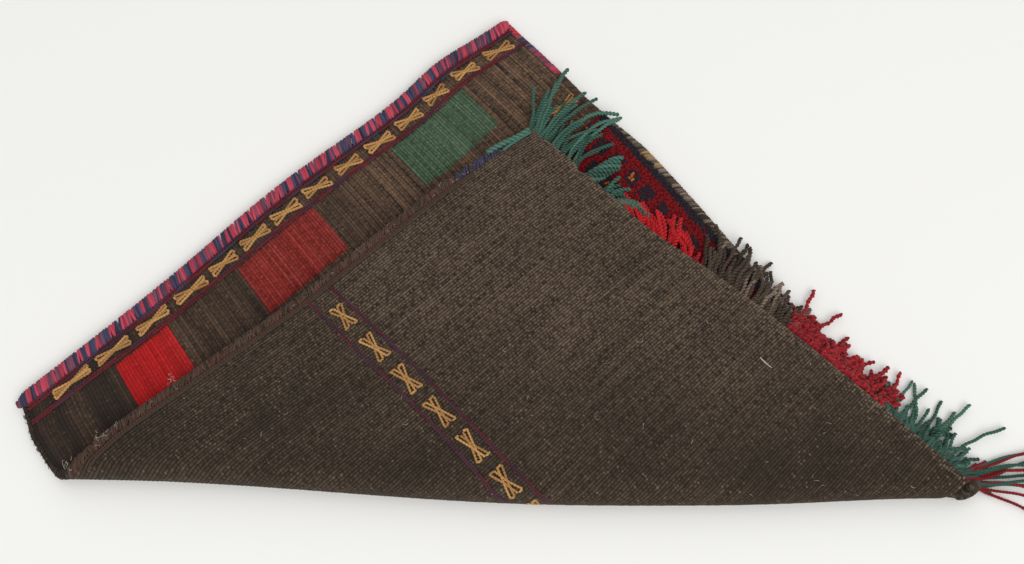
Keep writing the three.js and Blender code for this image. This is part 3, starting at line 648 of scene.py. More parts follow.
def strip_rows(k, back_depth, face_depth, back_rows, face_rows, turn):
    back_along = rows_along(k, -BACK_LIP, *back_rows)
    face_along = rows_along(k, 0, *face_rows)[::-1]
    back_reach = flat(k, back_along)[..., 1]
    rows = np.concatenate([
        on_cloth(k, back_along, back_depth(back_reach)),
        foot_turn(k, *turn),
        on_cloth(k, face_along, face_depth),
    ])
    foot_along = np.repeat(warp(k)[4][None], len(turn[0]), axis=0)
    return rows, np.concatenate([back_along, foot_along, face_along])


print(RIBS, "ribs take", len(fine), "points across the strip")

# %% Closing two sheets to one body
def zipped(low, high):
    faces, a, b = [], 0, 0
    ends = len(low) - 1, len(high) - 1
    while a < ends[0] or b < ends[1]:
        if b == ends[1] or (a < ends[0] and (a + 1) * ends[1] <= (b + 1) * ends[0]):
            faces.append((low[a], low[a + 1], high[b]))
            a += 1
        else:
            faces.append((low[a], high[b + 1], high[b]))
            b += 1
    return np.array(faces)


def volume(points, faces):
    total = 0.0
    for f in faces:
        for i in range(1, f.shape[1] - 1):
            crossed = np.cross(points[f[:, i]], points[f[:, i + 1]])
            total += np.einsum("ij,ij->", points[f[:, 0]], crossed) / 6
    return total


def skin(over, under):
    rows = len(over)
    top = np.arange(rows * over.shape[1]).reshape(rows, -1)
    low = top.size + np.arange(rows * under.shape[1]).reshape(rows, -1)
    rims = [np.stack([a[:-1], a[1:], b[1:], b[:-1]], -1)
            for a, b in ((top[:, 0], low[:, 0]), (low[:, -1], top[:, -1]))]
    faces = [grid(rows, over.shape[1]), grid(rows, under.shape[1], top.size)[:, ::-1], *rims]
    faces += [zipped(low[0], top[0]), zipped(low[-1], top[-1])[:, ::-1]]
    points = np.concatenate([over.reshape(-1, 3), under.reshape(-1, 3)])
    if volume(points, faces) < 0:
        faces = [f[:, ::-1] for f in faces]
    return points, faces


print("a rim of three points meets one of five in", len(zipped(range(3), range(5))), "triangles")

# %% Cloth mesh
BACK_ROWS, FACE_ROWS = (8, 14, 50), (22, 10, 8)  # below the fold, round its roll, and on the flap
ROUNDED, ROUNDED_SHARE = 0.8, 0.8  # depth at which the foot's turn starts, and its share of the wrap there


def ribbed(reach):
    return -crest * turned(reach)


outer_turn = ((ROUNDED, FACE_TOP / 2, FACE_TOP - ROUNDED),
              (FOOT_WRAP * ROUNDED_SHARE, FOOT_WRAP, FOOT_WRAP * ROUNDED_SHARE))
inner_turn = ((BACK_CLOTH, (BACK_CLOTH + FACE_LOW) / 2, FACE_LOW), (0, 0, 0))
outside, outside_along = strip_rows(fine, ribbed, FACE_TOP + face_crest, BACK_ROWS, FACE_ROWS, outer_turn)
inside, _ = strip_rows(coarse, lambda reach: BACK_CLOTH, FACE_LOW, BACK_ROWS, FACE_ROWS, inner_turn)
cloth_points, cloth_faces = skin(outside, inside)
print("cloth:", sum(len(f) * (f.shape[1] - 2) for f in cloth_faces), "triangles,",
      round(volume(cloth_points, cloth_faces) / 1000), "cm3")

# %% Cloth piece
WEAR_REACH = 3.5  # the foot's edge is worn through to the pale warps over this distance
RAMP_FROM, RAMP_TO = -130.0, -20.0  # the flap's colour grows paler from the fold towards the foot
RAMP_LEFT, RAMP_WIDE, RAMP_LEAST = -290, 230, 0.2  # and less on its left

face_start = sum(BACK_ROWS) + len(outer_turn[0])
from_foot = warp(fine)[4] - outside_along
wear = np.exp(-(np.maximum(from_foot, 0) / WEAR_REACH) ** 2)
# a tone ramp kept on the points: the cloth's colour is darker near the fold and towards the flap's left
tone_ramp = np.clip((outside[..., 1] - RAMP_FROM) / (RAMP_TO - RAMP_FROM), 0, 1)
tone_ramp = tone_ramp * np.clip((outside[..., 0] - RAMP_LEFT) / RAMP_WIDE, RAMP_LEAST, 1)
# on the face band the ramp makes the colour paler towards the right side
tone_ramp[face_start:] = 1 - fine
inner = np.zeros(inside.shape[0] * inside.shape[1])
age = {"wear": np.concatenate([wear.ravel(), inner]), "tone_ramp": np.concatenate([tone_ramp.ravel(), inner])}
weave = np.stack([np.broadcast_to(fine * RIBS, outside_along.shape), outside_along], -1).reshape(-1, 2)
inner_weave = np.zeros((len(inner), 2))
quad_rows = np.repeat(np.arange(len(outside) - 1), len(fine) - 1)
dyes = np.concatenate([np.where(quad_rows < face_start - 1, 0, 1),
                       np.zeros(sum(len(f) for f in cloth_faces[1:]), int)])
cloth = make_piece("woven_cloth", cloth_points, cloth_faces, [BACK_WOOL, BAND_WOOL], dyes, age,
                   np.concatenate([weave, inner_weave]))
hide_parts("woven_body")
print("cloth's box", outside.reshape(-1, 3).min(0).round(), outside.reshape(-1, 3).max(0).round())

# %% [markdown]
# ## Coloured blocks
# Along the mouth the weaver changed the weft colour for a few fingers' width and changed back. The
# block is the same weave in another dye, beaten a little harder, so it stands a hair proud of the band.
# Painting a rectangle on the band would do from afar, but the proud edge catches light, so each block
# is its own ribbed slab.

# %% Coloured blocks
BLOCK_START, BLOCK_DEPTH, BLOCK_PROUD = 14.5, 37.5, 0.45
BLOCK_TUCK, BLOCK_SUNK = 0.1, 0.3  # its first and last rows dip into the band, and its underside lies below
BLOCK_ROWS, BLOCK_RAGGED = 14, 0.35
DRAWN_UP, DRAWN_UP_FROM = 3.5, 230  # the left end of the band is woven a little nearer the mouth
Block = namedtuple("Block", "start width tones groove fleck")  # in mm across from the right side
# the fourth colour of each block is painted shade for the grooves between its ribs
BLOCKS = {
    "green_block": Block(52, 65, ("#586f56", "#7f967c", "#2e402b"), "#1b261b", "#93a58b"),
    "crimson_block": Block(180, 62, ("#a3352f", "#b6584d", "#661811"), "#3a0d09", "#bd7667"),
    "scarlet_block": Block(296.5, 37.5, ("#cb1e20", "#d03a38", "#9c1213"), "#600a09", "#d25f56"),
}


def drawn_up(across):
    return DRAWN_UP * np.clip((across - DRAWN_UP_FROM) / (MOUTH_WIDTH - DRAWN_UP_FROM), 0, 1)


def ragged(draws, count):
    by_rib = draws.normal(0, BLOCK_RAGGED, count // RIB_POINTS + 1)
    return np.repeat(by_rib, RIB_POINTS)[:count]


def weft_block(node, block):
    # the same beads as the band's in a strong dye, so the colour looks lively and a little worn
    wool = woven_wool("weft_faced_" + node.replace("block", "wool"), FACE_WEAVE, block.tones, block.groove,
                      block.fleck)
    first, last = [round(edge / MOUTH_WIDTH * RIBS) * RIB_POINTS
                   for edge in (block.start, block.start + block.width)]
    k = fine[first:last + 1]
    edges = np.random.default_rng(first)
    top = BLOCK_START - drawn_up(block.start) + ragged(edges, len(k))
    end = top + BLOCK_DEPTH + ragged(edges, len(k))
    along = np.linspace(top, end, BLOCK_ROWS)
    rim = np.minimum(1, np.minimum(np.arange(BLOCK_ROWS), np.arange(BLOCK_ROWS)[::-1]))[:, None]
    proud = FACE_TOP + face_crest[first:last + 1] + BLOCK_PROUD * rim - BLOCK_TUCK * (1 - rim)
    over = on_cloth(k, along, proud)
    under = on_cloth(k, along, np.full(along.shape, FACE_TOP - BLOCK_SUNK))
    points, faces = skin(over, under)
    one_side = np.stack([np.broadcast_to(k * RIBS, along.shape), along], -1).reshape(-1, 2)
    piece = make_piece("woven_" + node, points, faces, [wool], weave=np.concatenate([one_side, one_side]))
    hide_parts(node)
    return piece


for node, block in BLOCKS.items():
    weft_block(node, block)

# %% [markdown]
# ## Brocade
# Three lines of gold crosses are wrapped into the cloth with an extra yarn that goes over two warps and
# back under one, so each stroke is a row of small slanting stitches. One cross is drawn as strokes on a
# small plan and copied along the line, each a little unlike the last. Every stroke becomes a yarn that
# swells at each stitch. A line of plum, maroon and indigo stitches runs beside the crosses.

# %% Brocade strokes
STITCH = RIB_PITCH
STITCH_SWELL = 0.5
LEAN_UNLIKE, STRETCH_UNLIKE, HAND_UNLIKE = 0.03, 0.04, 0.22  # how far no two crosses are alike
RUN_LONG = (4, 16)  # mm of one dye in the line beside the crosses
WANDER, WANDER_WAVE = 0.4, 17
Cross = namedtuple("Cross", "half wide notch waist")  # half its length, width, notch at each end and waist
MOUTH_CROSS = Cross(half=9.4, wide=3.9, notch=1.1, waist=0.7)
BACK_CROSS = Cross(half=8.6, wide=4.3, notch=1.4, waist=0.9)


def cross_strokes(half, wide, notch, waist):
    strokes = []
    for side in (-1, 1):
        strokes.append([(-half, -side * wide), (0, -side * waist), (half, side * notch)])
        strokes.append([(half, -side * wide), (0, -side * waist), (-half, side * notch)])
        strokes += [[(end * half, side * wide), (end * half, side * notch)] for end in (-1, 1)]
    return strokes


def stitched(line, radius, draws):
    reach, fine_line = evenly(line, STITCH / 4)
    beat = np.abs(np.sin(math.pi * reach / STITCH + draws.uniform(0, math.pi)))
    return yarn(fine_line, radius * (1 - STITCH_SWELL + STITCH_SWELL * beat), sides=6)


def brocade(skein, to_cloth, middles, motif, radius, seed, leans=(0, 0), widths=(1, 1), lengths=(1, 1)):
    draws = np.random.default_rng(seed)
    for middle in middles:
        share = (middle - middles[0]) / (middles[-1] - middles[0])
        lean, width, stretch = [np.interp(share, np.linspace(0, 1, len(ends)), ends)
                                for ends in (leans, widths, lengths)]
        lean, stretch = draws.normal(lean, LEAN_UNLIKE), draws.normal(stretch, STRETCH_UNLIKE)
        for stroke in cross_strokes(*motif):
            path = np.array(stroke) + draws.normal(0, HAND_UNLIKE, (len(stroke), 2))
            dense = [np.linspace(a, b, 6, endpoint=False) for a, b in zip(path, path[1:])]
            dense = np.concatenate([*dense, path[-1:]])
            line = to_cloth(middle + dense[:, 0] * stretch, dense[:, 1] * width + lean * dense[:, 0])
            skein.add(stitched(line, radius, draws), GOLD, draws.uniform(0.2, 0.9))


def side_row(skein, to_cloth, first, last, offset, radius, dyes, seed):
    draws = np.random.default_rng(seed)
    for row in (-1, 1):
        at = first
        while at < last:
            end = min(last, at + draws.uniform(*RUN_LONG))
            across = np.linspace(at, end, max(3, round((end - at) / 2)))
            wander = WANDER * np.sin(across / WANDER_WAVE + seed) + row * radius * 0.9
            body = stitched(to_cloth(across, offset + wander), radius, draws)
            skein.add(body, pick(draws, dyes), draws.uniform(0, 0.5))
            at = end


print("one cross has", len(cross_strokes(*BACK_CROSS)), "strokes")

# %% Where the brocade lies
MOUTH_BROCADE_AT, PILE_BROCADE_AT = 7.2, 69.3
BACK_BROCADE_FROM_FOOT = 174.9
STROKE_LIFT = 0.4


def face_line(from_mouth):
    def to_cloth(across, along):
        depth = FACE_TOP + RIB_HEIGHT + STROKE_LIFT
        return on_cloth(across / MOUTH_WIDTH, from_mouth - drawn_up(across) + along, depth)
    return to_cloth


def face_edge(across, along):
    return on_cloth(across / MOUTH_WIDTH, along, FACE_TOP)


def back_line(across, along):
    share = across / FOOT_WIDTH
    middle = float(warp(1)[4]) * (1 - share) + float(warp(0)[4]) * share
    place = flat(1 - share, middle - BACK_BROCADE_FROM_FOOT + along)
    return lay(place, 1 - (1 + RIB_HEIGHT + STROKE_LIFT) * turned(place[:, 1]))


def spaced(first, pitch, count):
    return first + pitch * np.arange(count)


def finish_on_cloth(skein, name, node):
    piece = skein.piece(name)
    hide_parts(node)
    return piece


print("the back's line starts at", back_line(np.array([0.0]), 0.0)[0].round(1))

# %% Brocade on the face and the back
PILE_BROCADE_LENGTH, BACK_BROCADE_LENGTH = 350, 190
LINE_DYES = [GOLD, PLUM, MAROON, INDIGO]
mouth_yarns, pile_yarns, back_yarns = Skein(LINE_DYES), Skein(LINE_DYES), Skein(LINE_DYES)
mouth_line, pile_line = face_line(MOUTH_BROCADE_AT), face_line(PILE_BROCADE_AT)

mouth_middles = np.concatenate([spaced(16, 25.6, 10), spaced(272.5, 29, 4)])
brocade(mouth_yarns, mouth_line, mouth_middles, MOUTH_CROSS, radius=1.0, seed=21,
        leans=(-0.12, -0.1, 0.06), widths=(1, 0.95, 0.75), lengths=(0.86, 1, 1.22))
side_row(mouth_yarns, mouth_line, 0, MOUTH_WIDTH, offset=6.2, radius=0.85,
         dyes=(MAROON, MAROON, MAROON, PLUM), seed=22)
side_row(mouth_yarns, mouth_line, 0, MOUTH_WIDTH, offset=-6.2, radius=0.5, dyes=(MAROON, INDIGO), seed=23)
side_row(mouth_yarns, face_edge, 0, MOUTH_WIDTH, offset=-0.7, radius=1.2,
         dyes=(MAROON, MAROON, PLUM), seed=29)
brocade(pile_yarns, pile_line, spaced(13.1, 27.6, 12), MOUTH_CROSS, radius=0.8, seed=24)
side_row(pile_yarns, pile_line, 0, PILE_BROCADE_LENGTH, offset=7, radius=0.8, dyes=(PLUM, MAROON), seed=25)
brocade(back_yarns, back_line, spaced(27, 26.6, 7), BACK_CROSS, radius=0.86, seed=26)
for offset, seed in ((-8.2, 27), (8.2, 28)):
    side_row(back_yarns, back_line, 5, BACK_BROCADE_LENGTH, offset, radius=0.55,
             dyes=(PLUM, PLUM, PLUM, PLUM, MAROON), seed=seed)
finish_on_cloth(mouth_yarns, "mouth_brocade_yarn", "mouth_brocade")
finish_on_cloth(pile_yarns, "pile_brocade_yarn", "pile_brocade")
finish_on_cloth(back_yarns, "back_brocade_yarn", "back_brocade")

# %% [markdown]
# ## Overcast edges
# The mouth edge and both sides are wrapped with yarn, turn beside turn, slanting as a needle leaves
# them. At the mouth the maker changed the yarn every few turns: rose, indigo, mauve. One turn is a ring
# of yarn round the edge. A spiral tube would do, but separate rings can change colour, thickness and
# slant from turn to turn.

# %% Overcast rings
AROUND, RING_SIDES = 12, 5
RING_STRAY, RING_THICK = 0.2, (0.85, 1.15)  # how far a turn strays, and its thickness, in radii


def ring_faces():
    ring = np.arange(AROUND)[:, None] * RING_SIDES + np.arange(RING_SIDES)
    ring_on = np.roll(ring, -1, axis=0)
    corners = [ring, np.roll(ring, -1, axis=1), np.roll(ring_on, -1, axis=1), ring_on]
    return np.stack(corners, -1).reshape(-1, 4)


def overcast(skein, centres, outward, wide, high, radius, slant, dyes, draws, boxy=1.0, loose=0.1):
    ahead = unit(np.gradient(centres, axis=0))
    outward = unit(outward - ahead * np.sum(outward * ahead, axis=-1, keepdims=True))
    upward = np.cross(ahead, outward)
    turn = np.arange(AROUND) * 2 * math.pi / AROUND
    out_share, up_share = [np.sign(wave) * np.abs(wave) ** boxy for wave in (np.cos(turn), np.sin(turn))]
    section = np.arange(RING_SIDES)[:, None] * 2 * math.pi / RING_SIDES
    for i, centre in enumerate(centres):
        half_wide, half_high = wide[i] - radius, high[i] - radius
        lean = slant + draws.normal(0, loose)
        shift = lean * half_wide * out_share + draws.normal(0, RING_STRAY) * radius
        line = (centre + np.outer(half_wide * out_share, outward[i])
                + np.outer(half_high * up_share, upward[i]) + np.outer(shift, ahead[i]))
        away = unit(np.outer(half_high * np.cos(turn), outward[i])
                    + np.outer(half_wide * np.sin(turn), upward[i]))
        thick = radius * draws.uniform(*RING_THICK)
        points = line[:, None] + thick * (np.cos(section) * away[:, None]
                                          + np.sin(section) * ahead[i])
        skein.add((points.reshape(-1, 3), [ring_faces()]), dyes[i], draws.random())


def runs(count, choices, lengths, draws):
    dyes = []
    while len(dyes) < count:
        choice = pick(draws, choices)
        if not dyes or choice != dyes[-1]:
            dyes += [choice] * draws.integers(*lengths)
    return dyes[:count]


print("one turn of yarn has", len(ring_faces()), "faces")

# %% Mouth edge
MOUTH_WIDE, MOUTH_HIGH, MOUTH_TURN = 4.7, 2.8, 1.45
MOUTH_PAST_RIGHT, MOUTH_PAST_LEFT = 2, 5  # the wrapping goes so far past both corners
CORD_SEAT, MOUTH_GAP = 0.9, 0.6  # from the cloth's edge to a cord, and a little more at the mouth
END_START, END_ROUND = 2, 7  # its ends are rounded off over END_ROUND mm, counted from END_START mm outside
ROSE_START = 5  # turns of rose at the right corner
MOUTH_DYES = [ROSE] * 6 + [INDIGO] * 2 + [MAUVE] * 2
EDGE_DYES = [ROSE, INDIGO, SCARLET, MAUVE, RUSSET, BROWN, GREY_BROWN, TAN, DARK_BROWN]

mouth_draws = np.random.default_rng(31)
mouth_k = np.linspace(-MOUTH_PAST_RIGHT / MOUTH_WIDTH, 1 + MOUTH_PAST_LEFT / MOUTH_WIDTH, 80)
mouth_middle = on_cloth(mouth_k, -CORD_SEAT - MOUTH_WIDE - MOUTH_GAP, BACK_CLOTH + SEAT + MOUTH_HIGH)
_, centres = evenly(mouth_middle, MOUTH_TURN)
from_end = np.minimum(np.arange(len(centres)), np.arange(len(centres))[::-1])
rounded = np.clip((from_end * MOUTH_TURN + END_START) / END_ROUND, 0, 1) ** 0.5
mouth_edge = Skein(EDGE_DYES)
mouth_dyes = [ROSE] * ROSE_START + runs(len(centres), MOUTH_DYES, (1, 4), mouth_draws)
overcast(mouth_edge, centres, np.broadcast_to([*-MOUTH_INWARD, 0.0], centres.shape),
         MOUTH_WIDE * rounded, MOUTH_HIGH * rounded, radius=1.02, slant=-0.45,
         dyes=mouth_dyes, draws=mouth_draws, boxy=0.8, loose=0.12)
finish_on_cloth(mouth_edge, "mouth_overcasting", "mouth_binding")

# %% [markdown]
# The two sides are wrapped in the same way, but over a path that climbs round the fold's roll. So their
# line is found on the cloth first, with its distance from the edge, its depth and its thickness at each
# place, and then cut into even turns.

# %% Wrapping a side
ROLL_STAND_OFF = 1.4
SIDE_ROWS = (30, 24, 60)
SIDE_END_START = 0.5


def side_edge(k, start, offset, depth, wide, high, turn, yarn_radius, seed, dye_at, **wrap):
    draws = np.random.default_rng(seed)
    mouth, fold, foot = warp(k)[:3]
    along = rows_along(np.array([k]), start, *SIDE_ROWS)[:, 0]
    over = turned(flat(k, along)[:, 1])[:, None]
    outward = 1 if k == 0 else -1
    away = unit(outward * (left_of(mouth, fold) * (1 - over) + left_of(fold, foot) * over))
    sizes = [size(along[:, None], over) for size in (offset, depth, wide, high)]
    stand_off = sizes[0] + ROLL_STAND_OFF * 2 * np.sqrt(np.clip(over * (1 - over), 0, 1))
    line = lay(flat(k, along) + away * stand_off, sizes[1][:, 0])
    outer = lay(flat(k, along) + away * (stand_off + 1), sizes[1][:, 0]) - line
    reach, centres, outer, wide_at, high_at = evenly(line, turn, outer, sizes[2], sizes[3])
    closing = np.clip((reach[-1] - reach + SIDE_END_START) / END_ROUND, 0, 1)[:, None] ** 0.5
    wide_at, high_at = yarn_radius + wide_at * closing, yarn_radius + high_at * closing
    dyes = [pick(draws, dye_at(at, reach[-1])) for at in reach]
    edge = Skein(EDGE_DYES)
    overcast(edge, centres, outer, wide_at[:, 0], high_at[:, 0], yarn_radius,
             dyes=dyes, draws=draws, **wrap)
    return edge


def on_the_flap(below, more):
    return lambda along, over: below + more * over


print("a side is drawn through", sum(SIDE_ROWS), "places")

# %% [markdown]
# The left edge is thin below the fold, where it is frayed and dark, and thicker on the flap, in russet
# and brown. Its last turns at the foot are indigo. Two rows of stitches inside it are the seam that joins
# back and face. A painted line would do from afar, but stitches cast small shadows, so the seam is yarn.

# %% Left edge
LEFT_DARK_TO, LEFT_INDIGO = 60, 58  # dark so far from the mouth, and indigo over the last so many mm
SEAMS = {5.2: RUSSET, 6.6: BROWN}  # mm in from the edge
SEAM_FROM_FOLD, SEAM_FROM_FOOT, SEAM_POINTS = 14, 50, 60
SEAM_RADIUS, SEAM_SHADE, SEAM_LIFT = 0.8, 0.3, 0.3


def left_dyes(at, length):
    if at > length - LEFT_INDIGO:
        return INDIGO, INDIGO, INDIGO, DARK_BROWN
    return (DARK_BROWN,) if at < LEFT_DARK_TO else (RUSSET, BROWN)


left_edge = side_edge(
    1, -4.0, offset=on_the_flap(1.4, -2.4), depth=on_the_flap(2.8, -0.6), wide=on_the_flap(1.1, 1.9),
    high=on_the_flap(1.9, 1.6), turn=0.85, yarn_radius=0.6, seed=41, dye_at=left_dyes,
    slant=0.7, boxy=0.7, loose=0.35)
seam_draws = np.random.default_rng(44)
left_to_fold, left_length = [float(size) for size in warp(1)[3:]]
seam_along = np.linspace(left_to_fold + SEAM_FROM_FOLD, left_length - SEAM_FROM_FOOT, SEAM_POINTS)
for inset, dye in SEAMS.items():
    seam_k = np.full(SEAM_POINTS, 1 - inset / MOUTH_WIDTH)
    seam_line = on_cloth(seam_k, seam_along, np.full(SEAM_POINTS, -RIB_HEIGHT - SEAM_LIFT))
    left_edge.add(stitched(seam_line, SEAM_RADIUS, seam_draws), dye, SEAM_SHADE)
finish_on_cloth(left_edge, "left_overcasting", "left_binding")

# %% [markdown]
# The right edge starts flat at the mouth, in the mouth's colours, and swells to a round cord of brown and
# grey wool, with a short mend in tan. One tube with stripes could stand for it, but the turns show in its
# outline, so it is wrapped like the rest. At the foot's corner the yarn ends in a dark knot round a core.

# %% Right edge
RIGHT_CORD, CORD_MIDDLE = 3.6, 5.4  # half the cord's width, and its middle's distance from the cloth's edge
CORD_LIFT = 0.2
CORD_FROM, CORD_FULL = 76.0, 126.0  # the right edge swells to a cord between these lengths from the mouth
CORD_DYES = (BROWN, BROWN, GREY_BROWN, GREY_BROWN)
RIGHT_RUNS = {  # where along the edge each run of dyes ends
    14: (ROSE, ROSE, SCARLET), 32: (INDIGO, MAUVE, INDIGO), 54: (ROSE, MAUVE, ROSE),
    100: (BROWN, RUSSET, BROWN), 139: CORD_DYES, 153: (TAN, TAN, GREY_BROWN),
}
RIGHT_DARK = 26  # and the last so many mm are dark


def right_dyes(at, length):
    if at > length - RIGHT_DARK:
        return DARK_BROWN, BROWN
    return next((dyes for end, dyes in RIGHT_RUNS.items() if at < end), CORD_DYES)


def on_the_cord(before, more):
    return lambda along, over: before + more * np.clip((along - CORD_FROM) / (CORD_FULL - CORD_FROM), 0, 1)


right_edge = side_edge(
    0, -7.0, offset=on_the_cord(0.4, CORD_MIDDLE - 0.4),
    depth=on_the_cord(3.0, RIGHT_CORD + CORD_LIFT - 3.0),
    wide=on_the_cord(2.2, RIGHT_CORD - 3.0), high=on_the_cord(2.1, RIGHT_CORD - 2.9),
    turn=1.4, yarn_radius=0.82, seed=42, dye_at=right_dyes, slant=0.6, boxy=0.9, loose=0.1)
print("right edge:", len(right_edge.points), "turns")

# %% Knot at the foot's corner
KNOT_FROM, KNOT_TO = np.array([252.0, -136, 7.0]), np.array([266.0, -128, 7.0])
KNOT_RADIUS, KNOT_YARN, KNOT_CORE = 3.8, 0.8, 0.6
KNOT_TURNS = [DARK_BROWN, DARK_BROWN, BROWN, DARK_BROWN] * 4
KNOT_OUTWARD = [0.6, -0.8, 0.0]

knot_line = np.linspace(KNOT_FROM, KNOT_TO, len(KNOT_TURNS))
knot_round = KNOT_RADIUS * np.sqrt(1 - np.linspace(-0.99, 0.99, len(KNOT_TURNS)) ** 2) + KNOT_YARN
overcast(right_edge, knot_line, np.broadcast_to(KNOT_OUTWARD, knot_line.shape), knot_round, knot_round,
         radius=KNOT_YARN, slant=0.2, dyes=KNOT_TURNS, draws=np.random.default_rng(43))
right_edge.add(yarn(knot_line, knot_round - KNOT_CORE, sides=10), DARK_BROWN, 0.0)
finish_on_cloth(right_edge, "right_overcasting", "right_binding")

# %% [markdown]
# ## Knotted pile
# The face is knotted: every knot is a short end of yarn tied round two warps and cut off, so the
# surface is a bed of blunt tips. Hair particles could make it, but a knot is thicker than a hair and
# each has its own dye, so the strip that shows gets one small blunt tuft for each knot, 1.6 mm from the
# next. Under the flap nobody sees them, and a plain bed of the same height carries on.

# %% Pile bed
PILE_MARGIN, PILE_FOOT_GAP, BED_SHORT = -0.003, 7.0, 1.2
BED_COLUMNS, BED_ROWS, BED_SHADE = 41, (14, 10, 12), 0.1
# cut ends swallow light, so the pile looks deep and velvety, and the orange alone keeps a pale sheen
PILE_DYES = [
    yarn_wool("cut_red_pile_wool", "#4a060a", "#8e1018", 0.04),
    yarn_wool("cut_indigo_pile_wool", "#14141a", "#2b2c35", 0.04),
    yarn_wool("cut_orange_pile_wool", "#7d3808", "#c8742a", 0.25),
]
RED_KNOT, INDIGO_KNOT, ORANGE_KNOT = PILE_DYES

bed_k = np.linspace(PILE_MARGIN, 1 - PILE_MARGIN, BED_COLUMNS)
bed_end = warp(bed_k)[4] - PILE_FOOT_GAP
bed_along = np.clip(rows_along(bed_k, PILE_START, *BED_ROWS), PILE_START, bed_end)
bed_share = (bed_along - bed_along[0]) / (bed_along[-1] - bed_along[0])
bed_along = PILE_START + bed_share * (bed_along[-1] - PILE_START)
bed = skin(on_cloth(bed_k, bed_along, PILE_TOP - BED_SHORT), on_cloth(bed_k, bed_along, PILE_LOW))
pile = Skein(PILE_DYES)
pile.add(bed, RED_KNOT, BED_SHADE)
print("pile bed", round(volume(*bed) / 1000), "cm3")

# %% One knot
TUFT_SIDES = 4
TUFT_FOOT, TUFT_BELLY_AT, TUFT_TIP, TUFT_CROWN = 0.7, 0.55, 0.8, 0.08  # in shares of its radius or height


def knot(base, tip, radius, turn):
    side = np.arange(TUFT_SIDES)
    after = (side + 1) % TUFT_SIDES
    angle = 2 * math.pi * side / TUFT_SIDES + turn
    disc = radius * np.stack([np.cos(angle), np.sin(angle), 0 * angle], -1)
    rings = [base + disc * TUFT_FOOT, base + (tip - base) * TUFT_BELLY_AT + disc, tip + disc * TUFT_TIP]
    points = np.concatenate([*rings, [tip + (tip - base) * TUFT_CROWN], [base]])
    walls = [np.stack([ring + side, ring + after, ring + TUFT_SIDES + after, ring + TUFT_SIDES + side], -1)
             for ring in (0, TUFT_SIDES)]
    rim, top = 2 * TUFT_SIDES, np.full(TUFT_SIDES, 3 * TUFT_SIDES)
    caps = [np.stack([rim + side, rim + after, top], -1), np.stack([after, side, top + 1], -1)]
    return points, [np.concatenate(walls), np.concatenate(caps)]


one_knot = knot(np.zeros(3), np.array([0, 0, PILE_HEIGHT]), 1.0, 0.0)
print("one knot has", len(one_knot[0]), "points and holds", round(volume(*one_knot), 1), "mm3")

# %% Knots
KNOT, TUFT_RADIUS, TUFT_SUNK, TUFT_SHORT = 1.6, 1.25, 0.5, 0.8
NAP, TUFT_LEAN, TUFT_LEANS = -52, 1.2, (0.3, 1.2)  # the way the pile lies, and how far a knot leans
KNOTS_TO, SHOWN_UNDER_FLAP = 0.36, 16.0  # knots take this share of the width, and so much under the flap
BORDER, STRIPE, CELL, BAR = 2.4, 9.0, 15.0, 5.5  # of the pattern, in mm
ORANGE_HALF, ORANGE_EVERY = 2.8, 3


def knot_dye(across, along):
    if across < BORDER:
        return INDIGO_KNOT
    if across < STRIPE:
        return RED_KNOT
    row = int((across - STRIPE) // CELL)
    aside = (across - STRIPE) % CELL
    place = (along + 0.5 * CELL * (row % 2)) % CELL
    if aside > CELL - BAR or place > CELL - BAR:
        return RED_KNOT
    middle = abs(aside - (CELL - BAR) / 2) + abs(place - (CELL - BAR) / 2)
    orange = middle < ORANGE_HALF and (row + int(along // CELL)) % ORANGE_EVERY == 0
    return ORANGE_KNOT if orange else INDIGO_KNOT


knots = np.random.default_rng(51)
for across in np.arange(PILE_MARGIN * MOUTH_WIDTH, KNOTS_TO * MOUTH_WIDTH, KNOT):
    k = across / MOUTH_WIDTH
    along = np.arange(PILE_START + 1, float(warp(k)[3]) - QUARTER * 1.2, KNOT)
    bases = on_cloth(k, along, PILE_LOW + TUFT_SUNK)
    shows = (bases[:, :2] - FOOT_LEFT) @ FOOT_OUTWARD > -SHOWN_UNDER_FLAP
    for base, at in zip(bases[shows], along[shows]):
        base = base + [*knots.normal(0, 0.2, 2), 0]
        lean = TUFT_LEAN * bearing(NAP) * knots.uniform(*TUFT_LEANS) + knots.normal(0, 0.5, 2)
        tip = base + [*lean, PILE_HEIGHT - TUFT_SHORT + knots.normal(0, 0.2)]
        body = knot(base, tip, TUFT_RADIUS, knots.uniform(0, 1))
        pile.add(body, knot_dye(across, at), knots.uniform(0.2, 0.8))
finish_on_cloth(pile, "cut_pile", "knotted_pile")

# %% [markdown]
# ## Fringe
# Two-ply yarns hang from the foot in groups of one colour. Each group has aged in its own way:
# straight, looped, stubby or kinked where it was once plaited. A strand starts under the foot's edge
# and lies on whatever is below it: the band, the pile, the side's edge, then the floor. A hair
# simulation could drop them, but the picture shows where they lie, so each follows a bearing that sways
# and kinks along its length, and its height is that of what carries it, smoothed as stiff wool would
# be.

# %% Where a strand lies
STRAND_STEP = 0.75
BAND_TOP = FACE_TOP + RIB_HEIGHT + 1.0
CORD_TOP = 2 * RIGHT_CORD + CORD_LIFT + 0.6
PILE_EARLY, CORD_EARLY, CORD_PAST = 3, 1, 2  # mm of slope before the pile, before the cord and past it
SMOOTHING = 15  # steps over which a stiff strand evens out what it lies on
ROOT_DEPTH, ROOT_INSET, ROOT_DROP = FACE_TOP + SEAT + 1.6, 3.0, 18  # it comes down over so many mm
KINK_RISE = 0.04
Strand = namedtuple("Strand", "at heads long bends")  # mm from the foot's left corner, degrees, mm, degrees


